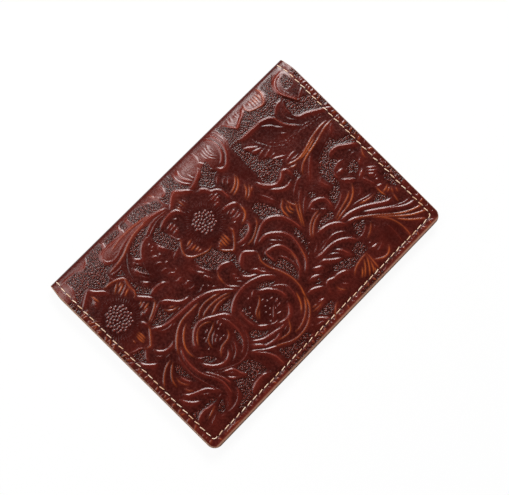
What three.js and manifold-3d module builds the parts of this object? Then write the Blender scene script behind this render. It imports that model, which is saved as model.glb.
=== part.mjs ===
// A closed travel document cover. One sheet of leather is folded round a soft spine and lined. Each leaf has a passport
// sleeve, the front leaf has stepped card pockets as well, and one lock-stitched seam runs round the edge.
// Millimetres, +Z up. The back leaf lies on z = 0, the spine is at -X, the fore-edges are at +X, the front leaf is on top.
import * as THREE from 'three';
import { mergeVertices } from 'three/addons/utils/BufferGeometryUtils.js';
import Module from 'manifold-3d';

// Overall sizes
const coverHeight = 140; // along the spine
const coverWidth = 97; // from the back of the spine to the fore-edge of the back leaf
const foreEdgeStagger = 0.5; // the back leaf reaches this much further than the front leaf
const cornerRadius = 4; // the two fore-edge corners of each leaf
const smallestRadius = 0.4; // what is left of that radius well inside the edge

// Plies
const leatherThickness = 1.2;
const edgeChamfer = 0.2; // along the cut edges of the leather
const liningThickness = 0.25;
const liningTrim = 0.4; // the lining is cut this much smaller than the leather
const sleeveThickness = 0.6;
const cardPocketThickness = 0.45;

// Clearances
const plyGap = 0.05; // between plies that the seam holds together
const leafGap = 0.3; // between the two closed leaves
const foldGap = 0.3; // between a leaf and the spine, at the fold line
const cutMargin = 1; // how far a cutting body reaches past what it cuts

// Pockets. A mouth is measured from the fold line
const passportRoom = 0.7; // what a sleeve stands clear of the lining, for one board of a passport
const pocketSetback = 5; // from the edge of a sleeve to the foot of the slope that lifts its panel
const frontSleeveMouth = 5;
const backSleeveMouth = 30;
const cardPocketCount = 2;
const firstCardMouth = 22;
const cardMouthStep = 11;

// Seam
const seamMargin = 3.1; // from the edge to the middle of the thread
const seamRadius = 2.5; // where the seam turns a corner
const stitchPitch = 3.4;
const stitchRamp = 0.5; // length over which the thread dips to a needle hole
const threadDiameter = 0.5;
const threadSides = 4;
const grooveWidth = 0.9; // the stitching groove keeps the thread below the face
const grooveDepth = 0.75;
const bobbinCrown = 0.12; // how much a stitch stands up between its holes on the inner face

// Steps of the round forms
const arcSteps = 5;
const spineSteps = 8;

// Levels, measured from the outer face of a leaf inwards
const liningLevel = leatherThickness + plyGap;
const liningTop = liningLevel + liningThickness;
const sleeveLevel = liningTop + plyGap;
const sleeveTop = sleeveLevel + passportRoom + sleeveThickness;
const cardPly = cardPocketThickness + plyGap;
const backStack = sleeveTop;
const frontStack = sleeveTop + cardPocketCount * cardPly;
const closedThickness = backStack + leafGap + frontStack;

// The spine is a half tube between the two fold lines
const spineRadius = closedThickness / 2;
const foldX = spineRadius - coverWidth / 2;
const backLeafLength = coverWidth - spineRadius;
const frontLeafLength = backLeafLength - foreEdgeStagger;
const seamY = coverHeight / 2 - seamMargin;

const wasm = await Module();
wasm.setup();

const materials = {
  tooledLeather: { color: 0x5a2c26, roughness: 0.38, metalness: 0 },
  pocketLeather: { color: 0x6e3f2c, roughness: 0.55, metalness: 0 },
  lining: { color: 0x3a2019, roughness: 0.9, metalness: 0 },
  thread: { color: 0xdcb08c, roughness: 0.7, metalness: 0 },
};

function namedMesh(name, geometry, look) {
  const mesh = new THREE.Mesh(geometry, new THREE.MeshStandardMaterial({ ...look, flatShading: true }));
  mesh.name = name;
  return mesh;
}

// Booleans
function solid(geometry) {
  const bare = geometry.clone();
  bare.deleteAttribute('normal');
  bare.deleteAttribute('uv');
  const merged = mergeVertices(bare);
  return new wasm.Manifold(new wasm.Mesh({
    numProp: 3,
    vertProperties: merged.attributes.position.array,
    triVerts: new Uint32Array(merged.index.array),
  }));
}

function geometryOf(body) {
  const mesh = body.getMesh();
  const geometry = new THREE.BufferGeometry();
  geometry.setAttribute('position', new THREE.BufferAttribute(mesh.vertProperties, 3));
  geometry.setIndex(new THREE.BufferAttribute(mesh.triVerts, 1));
  geometry.computeVertexNormals();
  return geometry;
}

// The outline of a leaf, drawn in from its three free edges, from a straight edge near the fold
function leafShape(length, inset, start, radius = Math.max(cornerRadius - inset, smallestRadius)) {
  const edge = length - inset;
  const top = coverHeight / 2 - inset;
  const shape = new THREE.Shape();
  shape.moveTo(start, -top);
  shape.lineTo(edge - radius, -top);
  shape.absarc(edge - radius, radius - top, radius, -Math.PI / 2, 0, false);
  shape.absarc(edge - radius, top - radius, radius, 0, Math.PI / 2, false);
  shape.lineTo(start, top);
  return shape;
}

// A closed body through a stack of like outlines, lowest first
function loft(sections) {
  const outlines = sections.map(({ shape }) => shape.extractPoints(arcSteps).shape);
  const count = outlines[0].length;
  const positions = outlines.flatMap((points, i) => points.flatMap((p) => [p.x, p.y, sections[i].level]));
  const index = [];
  for (let ring = 0; ring + 1 < outlines.length; ring += 1) {
    for (let i = 0; i < count; i += 1) {
      const a = ring * count + i;
      const b = ring * count + ((i + 1) % count);
      index.push(a, b, b + count, a, b + count, a + count);
    }
  }
  const lastRing = (outlines.length - 1) * count;
  for (const [a, b, c] of THREE.ShapeUtils.triangulateShape(outlines[0], [])) {
    index.push(c, b, a);
  }
  for (const [a, b, c] of THREE.ShapeUtils.triangulateShape(outlines.at(-1), [])) {
    index.push(lastRing + a, lastRing + b, lastRing + c);
  }
  const geometry = new THREE.BufferGeometry();
  geometry.setAttribute('position', new THREE.Float32BufferAttribute(positions, 3));
  geometry.setIndex(index);
  geometry.computeVertexNormals();
  return geometry;
}

function prism(shape, bottom, top) {
  return loft([{ shape, level: bottom }, { shape, level: top }]);
}

// A flat ply of a leaf
function ply(length, inset, start, bottom, top) {
  return prism(leafShape(length, inset, start), bottom, top);
}

// A line beside the seam, this much further out on the leaf
function seamShape(length, outward, start) {
  return leafShape(length, seamMargin - outward, start, seamRadius + outward);
}

// The leather of a leaf, with chamfered edges and the stitching groove
function leafLeather(length) {
  const face = leafShape(length, edgeChamfer, foldGap);
  const edge = leafShape(length, 0, foldGap);
  const slab = loft([
    { shape: face, level: 0 },
    { shape: edge, level: edgeChamfer },
    { shape: edge, level: leatherThickness - edgeChamfer },
    { shape: face, level: leatherThickness },
  ]);
  const outer = seamShape(length, grooveWidth / 2, foldGap - cutMargin);
  const inner = seamShape(length, -grooveWidth / 2, foldGap - 2 * cutMargin);
  const outside = prism(outer, -cutMargin, grooveDepth);
  const inside = prism(inner, -2 * cutMargin, grooveDepth + cutMargin);
  const groove = solid(outside).subtract(solid(inside));
  return geometryOf(solid(slab).subtract(groove));
}

// A pocket: a flange that the seam goes through on three sides, and a panel lifted clear of what lies under it
function pocket({ length, mouth, level, thickness, setback }) {
  const slopeWall = thickness * (Math.SQRT2 - 1); // keeps the slope as thick as the panel
  const flangeTop = level + thickness;
  const foot = leafShape(length, setback, mouth);
  const crest = leafShape(length, setback + passportRoom, mouth);
  const innerFoot = leafShape(length, setback + slopeWall, mouth - cutMargin);
  const innerCrest = leafShape(length, setback + slopeWall + passportRoom, mouth - cutMargin);
  const flange = ply(length, 0, mouth, level, flangeTop);
  const raised = loft([
    { shape: foot, level },
    { shape: foot, level: flangeTop },
    { shape: crest, level: flangeTop + passportRoom },
  ]);
  const hollow = loft([
    { shape: innerFoot, level: level - cutMargin },
    { shape: innerFoot, level },
    { shape: innerCrest, level: level + passportRoom },
  ]);
  return geometryOf(solid(flange).add(solid(raised)).subtract(solid(hollow)));
}

// The line of a thread that dips to every needle hole. place gives the point at a distance along the seam, with a lift
// from 0 in a hole to 1 on the crown of a stitch
class StitchRun extends THREE.Curve {
  constructor(seamLength, place) {
    super();
    const stitches = Math.round(seamLength / stitchPitch);
    const pitch = seamLength / stitches;
    this.place = place;
    this.rings = [];
    for (let i = 0; i < stitches; i += 1) {
      this.rings.push({ along: i * pitch, lift: 0 });
      this.rings.push({ along: i * pitch + stitchRamp, lift: 1 });
      this.rings.push({ along: (i + 1) * pitch - stitchRamp, lift: 1 });
    }
    this.rings.push({ along: seamLength, lift: 0 });
  }

  getPoint(t, target = new THREE.Vector3()) {
    const at = t * (this.rings.length - 1);
    const first = Math.min(Math.floor(at), this.rings.length - 2);
    const [a, b] = [this.rings[first], this.rings[first + 1]];
    const along = THREE.MathUtils.lerp(a.along, b.along, at - first);
    const lift = THREE.MathUtils.lerp(a.lift, b.lift, at - first);
    return target.copy(this.place(along, lift));
  }

  getPointAt(u, target) {
    return this.getPoint(u, target);
  }

  getTangentAt(u, target) {
    return this.getTangent(u, target);
  }
}

function thread(seamLength, place) {
  const run = new StitchRun(seamLength, place);
  const section = new THREE.Shape();
  section.absarc(0, 0, threadDiameter / 2, Math.PI / threadSides, 2 * Math.PI + Math.PI / threadSides, false);
  return new THREE.ExtrudeGeometry(section, {
    steps: run.rings.length - 1,
    curveSegments: threadSides / 2,
    extrudePath: run,
    bevelEnabled: false,
  });
}

// A thread round the three free edges of a leaf. levelAt gives its level from the distance to the fold and the lift
function leafThread(length, levelAt) {
  const line = seamShape(length, 0, foldGap);
  const seamLength = line.getLength();
  return thread(seamLength, (along, lift) => {
    const point = line.getPoint(along / seamLength);
    return new THREE.Vector3(point.x, point.y, levelAt(point.x, lift));
  });
}

function needleLevel(u, lift) {
  const inHole = grooveDepth - plyGap - threadDiameter / 2;
  return THREE.MathUtils.lerp(inHole, threadDiameter / 2, lift);
}

// On the inner face the thread lies on the uppermost ply, and climbs to a ply one stitch before its edge
function bobbinLevel(mouths) {
  return (u, lift) => {
    const covered = mouths.filter(({ mouth }) => u > mouth - stitchPitch);
    const under = Math.max(liningTop, ...covered.map(({ top }) => top));
    return under + plyGap + threadDiameter / 2 + lift * bobbinCrown;
  };
}

// A leaf in coordinates of its own: x from the fold line to the fore-edge, y along the spine, z from the outer face inwards
function leaf(side, length, sleeveMouth, cardCount) {
  const group = new THREE.Group();
  const lining = ply(length, liningTrim, foldGap, liningLevel, liningTop);
  const sleeve = pocket({
    length,
    mouth: sleeveMouth,
    level: sleeveLevel,
    thickness: sleeveThickness,
    setback: pocketSetback,
  });
  group.add(namedMesh(`outer_cover_${side}`, leafLeather(length), materials.tooledLeather));
  group.add(namedMesh(`lining_${side}`, lining, materials.lining));
  group.add(namedMesh(`passport_sleeve_${side}`, sleeve, materials.pocketLeather));
  const mouths = [{ mouth: sleeveMouth, top: sleeveLevel + sleeveThickness }];
  let setback = pocketSetback;
  for (let i = 0; i < cardCount; i += 1) {
    const mouth = firstCardMouth + i * cardMouthStep;
    const level = mouths.at(-1).top + plyGap;
    setback -= plyGap + cardPocketThickness * (Math.SQRT2 - 1);
    const card = pocket({ length, mouth, level, thickness: cardPocketThickness, setback });
    group.add(namedMesh(`card_pocket_${i + 1}`, card, materials.pocketLeather));
    mouths.push({ mouth, top: level + cardPocketThickness });
  }
  group.add(namedMesh(`needle_thread_${side}`, leafThread(length, needleLevel), materials.thread));
  group.add(namedMesh(`bobbin_thread_${side}`, leafThread(length, bobbinLevel(mouths)), materials.thread));
  return group;
}

// A half tube round the axis of the spine, open towards the leaves
function halfTube(outer, inner, length) {
  const shape = new THREE.Shape();
  shape.absarc(0, 0, outer, Math.PI / 2, 1.5 * Math.PI, false);
  shape.absarc(0, 0, inner, 1.5 * Math.PI, Math.PI / 2, true);
  const geometry = new THREE.ExtrudeGeometry(shape, { depth: length, curveSegments: spineSteps, bevelEnabled: false });
  return geometry.rotateX(Math.PI / 2).translate(0, length / 2, 0);
}

// The stitching groove over one end of the spine
function spineGroove(y) {
  const ring = new THREE.Shape();
  ring.absarc(0, 0, spineRadius + cutMargin, 0, 2 * Math.PI, false);
  const hole = new THREE.Path();
  hole.absarc(0, 0, spineRadius - grooveDepth, 0, 2 * Math.PI, true);
  ring.holes.push(hole);
  const depth = grooveWidth;
  const geometry = new THREE.ExtrudeGeometry(ring, { depth, curveSegments: spineSteps, bevelEnabled: false });
  return geometry.rotateX(Math.PI / 2).translate(0, y + grooveWidth / 2, 0);
}

// A thread over one end of the spine, from the back leaf round to the front leaf
function spineThread(y, radiusAt) {
  const seamLength = Math.PI * spineRadius;
  return thread(seamLength, (along, lift) => {
    const angle = 1.5 * Math.PI - along / spineRadius;
    const radius = radiusAt(lift);
    return new THREE.Vector3(radius * Math.cos(angle), y, radius * Math.sin(angle));
  });
}

function spine() {
  const group = new THREE.Group();
  const tube = solid(halfTube(spineRadius, spineRadius - leatherThickness, coverHeight));
  const leather = tube.subtract(solid(spineGroove(seamY))).subtract(solid(spineGroove(-seamY)));
  const lining = halfTube(spineRadius - liningLevel, spineRadius - liningTop, coverHeight - 2 * liningTrim);
  group.add(namedMesh('outer_cover_spine', geometryOf(leather), materials.tooledLeather));
  group.add(namedMesh('lining_spine', lining, materials.lining));
  const needleRadius = (lift) => spineRadius - needleLevel(0, lift);
  const bobbinRadius = (lift) => spineRadius - bobbinLevel([])(0, lift);
  for (const [end, y] of [['top', seamY], ['bottom', -seamY]]) {
    group.add(namedMesh(`needle_thread_spine_${end}`, spineThread(y, needleRadius), materials.thread));
    group.add(namedMesh(`bobbin_thread_spine_${end}`, spineThread(y, bobbinRadius), materials.thread));
  }
  group.position.set(foldX, 0, spineRadius);
  return group;
}

const backLeaf = leaf('back', backLeafLength, backSleeveMouth, 0);
backLeaf.position.set(foldX, 0, 0);

const frontLeaf = leaf('front', frontLeafLength, frontSleeveMouth, cardPocketCount);
frontLeaf.rotation.x = Math.PI;
frontLeaf.position.set(foldX, 0, closedThickness);

const cover = new THREE.Group();
cover.add(backLeaf, spine(), frontLeaf);

export default cover;
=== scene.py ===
import math

import bmesh
import bpy
import numpy as np
from mathutils import Matrix, Vector


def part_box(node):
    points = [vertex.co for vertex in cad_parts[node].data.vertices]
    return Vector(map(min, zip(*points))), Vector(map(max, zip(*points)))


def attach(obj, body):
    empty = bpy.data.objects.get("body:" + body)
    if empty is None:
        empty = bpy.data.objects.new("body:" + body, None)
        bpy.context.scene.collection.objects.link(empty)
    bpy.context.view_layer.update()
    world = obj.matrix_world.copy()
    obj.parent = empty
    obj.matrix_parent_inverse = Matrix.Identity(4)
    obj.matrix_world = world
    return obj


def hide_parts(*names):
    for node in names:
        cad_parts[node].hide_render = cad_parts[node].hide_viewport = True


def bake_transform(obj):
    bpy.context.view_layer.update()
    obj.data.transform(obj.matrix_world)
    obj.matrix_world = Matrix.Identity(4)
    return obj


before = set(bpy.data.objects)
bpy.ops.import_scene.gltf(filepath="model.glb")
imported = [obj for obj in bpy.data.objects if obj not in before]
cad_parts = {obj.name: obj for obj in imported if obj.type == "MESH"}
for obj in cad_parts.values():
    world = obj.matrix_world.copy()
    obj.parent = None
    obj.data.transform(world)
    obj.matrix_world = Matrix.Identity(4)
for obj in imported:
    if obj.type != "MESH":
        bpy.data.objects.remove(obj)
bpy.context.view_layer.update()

MM = 0.001

# Picture and camera
IMAGE_WIDTH = 509
FOCAL_PIXELS = 1531.175
SENSOR_MM = 36.0
CAMERA_DISTANCE = 650.0
CAMERA_AZIMUTH, CAMERA_ELEVATION, CAMERA_ROLL = -3.4507, 79.4976, 48.1888
CAMERA_TARGET = (0.6019, 2.9385, 3.5)
CLIP_START_METRES = 0.01


def corners(node):
    """Lowest and highest corner of a solid, in millimetres."""
    low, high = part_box(node)
    return np.array(low) / MM, np.array(high) / MM


# Sizes that the solids give
SPINE_X = corners("outer_cover_spine")[0][0]
BACK_HIGH = corners("outer_cover_back")[1]
FRONT_HIGH = corners("outer_cover_front")[1]
# the cut edges of the leather stand a little past the solids
EDGE_PAST, END_PAST = 0.5, 0.2
FRONT_EDGE, BACK_EDGE = FRONT_HIGH[0] + EDGE_PAST, BACK_HIGH[0] + EDGE_PAST
HALF_HEIGHT = BACK_HIGH[1] + END_PAST
CLOSED = FRONT_HIGH[2]
LEATHER = BACK_HIGH[2]

# The leather's shape
CORNER = 4.0
SHOULDER_ANGLE = math.radians(26)
SHOULDER_LENGTH = 12.0
SHOULDER_FADE = 1.75
# across from the spine and up from the back's outer face: where the fold begins and ends
SPINE_DRAW = 0.011
SPINE_DRAW_REACH = 9.0
# The cut edges: how they round off, and where they are pale and where painted shadow darkens the rim, by the
# distance in from them
EDGE_ROUND, EDGE_FALL = 0.3, 0.6
RELIEF_FADE = (0.0, 0.4)
PALE_RIM = (0.1, 0.4)
PALE_FORE_EDGE = (0.7, 1.45)
SHADOWED_RIM = (0.3, 0.6)
# The plain leather's depth under the outer face, and where the tooling begins
PLATEAU_DEPTH = 0.36
SPINE_PLATEAU = 0.10
PLAIN_SPINE = 1.5
TOOLED_SPINE = 4.5
# Where the leather is painted paler: in from the spine, where it begins and ends, as rubbed leather and
# painted sheen on the shoulder, and in from the fore edge
SPINE_WEAR_AND_SHEEN_START, SPINE_WEAR_AND_SHEEN_END = (1.0, 5.5), (8.0, 16.0)
FORE_PALE, FORE_PALE_SHARE = (1.0, 2.6), 0.6
# How closely the points lie, and the columns set close to a cut edge, by their distance from it
SPACING = {"front": 0.17, "back": 0.34}
EDGE_COLUMNS = (0.06, 0.14, 0.24, 0.36, 0.5)
LEAST_CORNER, LEAST_TURN_POINTS = 0.5, 6
PROFILE_STEPS = 400

# Inner pieces
SLEEVE_THICKNESS = 0.6
CARD_THICKNESS = 0.45
POCKET_ROOM = 0.7
POCKET_SETBACK = 5.0
POCKET_SLOPE = (POCKET_SETBACK - 1.2, POCKET_SETBACK + 3.0)
POCKET_SPACING, LINING_SPACING = 0.9, 1.2
LINING_THREADS_PER_MM = 2.2
# columns of the lining through the fold, by their distance from the middle of the spine
FOLD_COLUMNS = np.arange(0.2, 9.0, 0.3)
POCKET_FALL, POCKET_FALL_WIDTH, UNDER_FALL = 0.22, 0.35, 0.3
POCKET_PALE = (0.05, 0.4)
# The creased line along a pocket's mouth: place, depth, widths of cut and dye, and where it ends
MOUTH_CREASE, MOUTH_CUT, MOUTH_CUT_WIDTH, MOUTH_DYE_WIDTH = 1.5, 0.13, 0.22, 0.35
MOUTH_ENDS = (2.0, 4.0)
MOUTH_COLUMNS = (0.05, 0.12, 0.2, 0.3, 0.45, 1.0, 1.2, 1.35, 1.5, 1.65, 1.8, 2.0, 2.4)

# Seam
SEAM_TOP, SEAM_BOTTOM, SEAM_FORE = 3.1, 2.95, 3.75
SEAM_RADIUS = 1.4
SEAM_START = 1.0
SEAM_PULL = 0.10
SEAM_PULL_WIDTH = 0.8
SEAM_FLATTENS = 0.5
SEAM_TURN_POINTS = 9
STITCH_PITCH = 3.4
STITCH_SHARE = 0.8
THREAD_RADIUS = 0.2
STITCH_LIFT = 0.15
STITCH_DIVE = 0.35
STITCH_SLANT = -0.34
STITCH_SLANT_SPREAD = (0.4, 1.6)
STITCH_JITTER = 0.10
STITCH_SQUARENESS = 5
STITCH_TIP_SHARE = 0.7
STITCH_SEED = 23
# a stitch lies on a pocket from this far past its mouth
POCKET_STEP = 0.2
PATH_PROBE, DEPTH_PROBE = 0.05, 0.1
HOLE_DEPTH = 0.10
HOLE_WIDTH = 0.22
PLY_DEPTH = 0.13
TWIST_TURNS = 2.2
THREAD_SIDES, THREAD_RINGS = 10, 13

# Tooling strokes: half width toward the key light and away from it, height and share of warm burnish
KINDS = {
    "broad": (0.80, 0.70, 0.24, 0.0),
    "bold": (0.32, 0.72, 0.17, 0.0),
    "ridge": (0.27, 0.48, 0.10, 0.0),
    "vein": (0.25, 0.36, 0.08, 0.0),
    "warm bold": (0.30, 0.62, 0.11, 1.0),
    "warm ridge": (0.27, 0.46, 0.10, 1.0),
    "warm vein": (0.25, 0.36, 0.08, 1.0),
    "fleck": (0.26, 0.34, 0.14, 0.0),
    "ray": (0.22, 0.30, 0.05, 0.0),
    "cut": (0.30, 0.30, -0.07, 0.0),
}
# Strokes across the border: kinds, first place and step along it, start, end, lean and bend of each
BORDER_KINDS = ("ridge", "warm ridge", "vein", "warm bold")
BORDER_START, BORDER_LENGTH = -38.0, 82.0
BORDER_FIRST, BORDER_STEP = (1.0, 3.0), (1.6, 3.6)
BORDER_FOOT, BORDER_HEAD = (0.4, 0.9), (2.0, 3.0)
BORDER_LEAN, BORDER_BEND = 1.2, 0.3
TOOLING_SEED = 11
# The height map's cell, and how far strokes and fields reach in it
CELL = 0.1
MARGIN = 2.0
STROKE_REACH, FIELD_REACH, HOLE_REACH = 2.4, 1.0, 1.0
PATH_STEP = 0.5
TINY = 1e-12
# The strokes follow the bright flanks of the lines, and the crests lie beside them
FAR_SIDE = np.array([0.77, -0.64])
CREST_SHIFT = 0.32 * FAR_SIDE
LEAN_SPAN = (-0.6, 0.6)
TIP_SHARE = 0.35
TIP_LENGTH, TIP_LIMIT = 2.2, 0.4
SWELL_WIDTH = 1.7
SWELL_SHARE = 0.4
FOOT_PLACE, FOOT_WIDTH, FOOT_SHARE = 0.78, 0.30, 0.28
FOOT_LEAN = (0.2, -0.6)
WARM_WIDTH = 0.30
# the lighter crest colour, rubbed leather and painted highlight, lies this far toward the light
HIGHLIGHT_SHIFT = 0.22
GROUND_DEPTH = 0.14
GROUND_EDGE = (-0.1, 0.9)
# share of that depth under ridges, and the height of a ridge that clears the pebbles
GROUND_UNDER_RIDGE, CLEARING_RIDGE = 0.4, 0.12
PEBBLE_PITCH = 0.66
PEBBLE_HEIGHT = 0.22
PEBBLE_SHIFT, PEBBLE_RADIUS, PEBBLE_SIZES = 0.34, 0.55, (0.45, 1.0)
WAVE_WIDTH, WAVE_HEIGHT = 1.8, 0.035
CREASE_WIDTH, CREASE_HEIGHT = 0.28, 0.005
SMOOTHING = 0.05
# hollows painted darker, as dye and painted shade
HOLLOW_WIDTH, HOLLOW_DEPTH = 0.7, 0.12
# broad dishes painted darker, and the raised parts round them painted lighter
DISH_WIDTH, DISH_DEPTH = 2.4, 0.07

# Light: each lamp's name, direction, distance and size in metres, and irradiance
SURROUND = 0.04
LAMPS = (
    ("key", (-0.43, 0.47, 0.77), 1.00, 0.40, 2.7),
    ("side", (-0.42, -0.20, 0.88), 0.90, 0.42, 1.0),
    ("fill", (0.80, 0.30, 0.52), 1.0, 0.7, 0.5),
    ("low", (-0.1, -0.9, 0.42), 1.0, 0.7, 0.9),
)
FLOOR_LIFT = 0.93
FLOOR_HALF_METRES, FLOOR_DROP_METRES = 3.0, 0.0001

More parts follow.
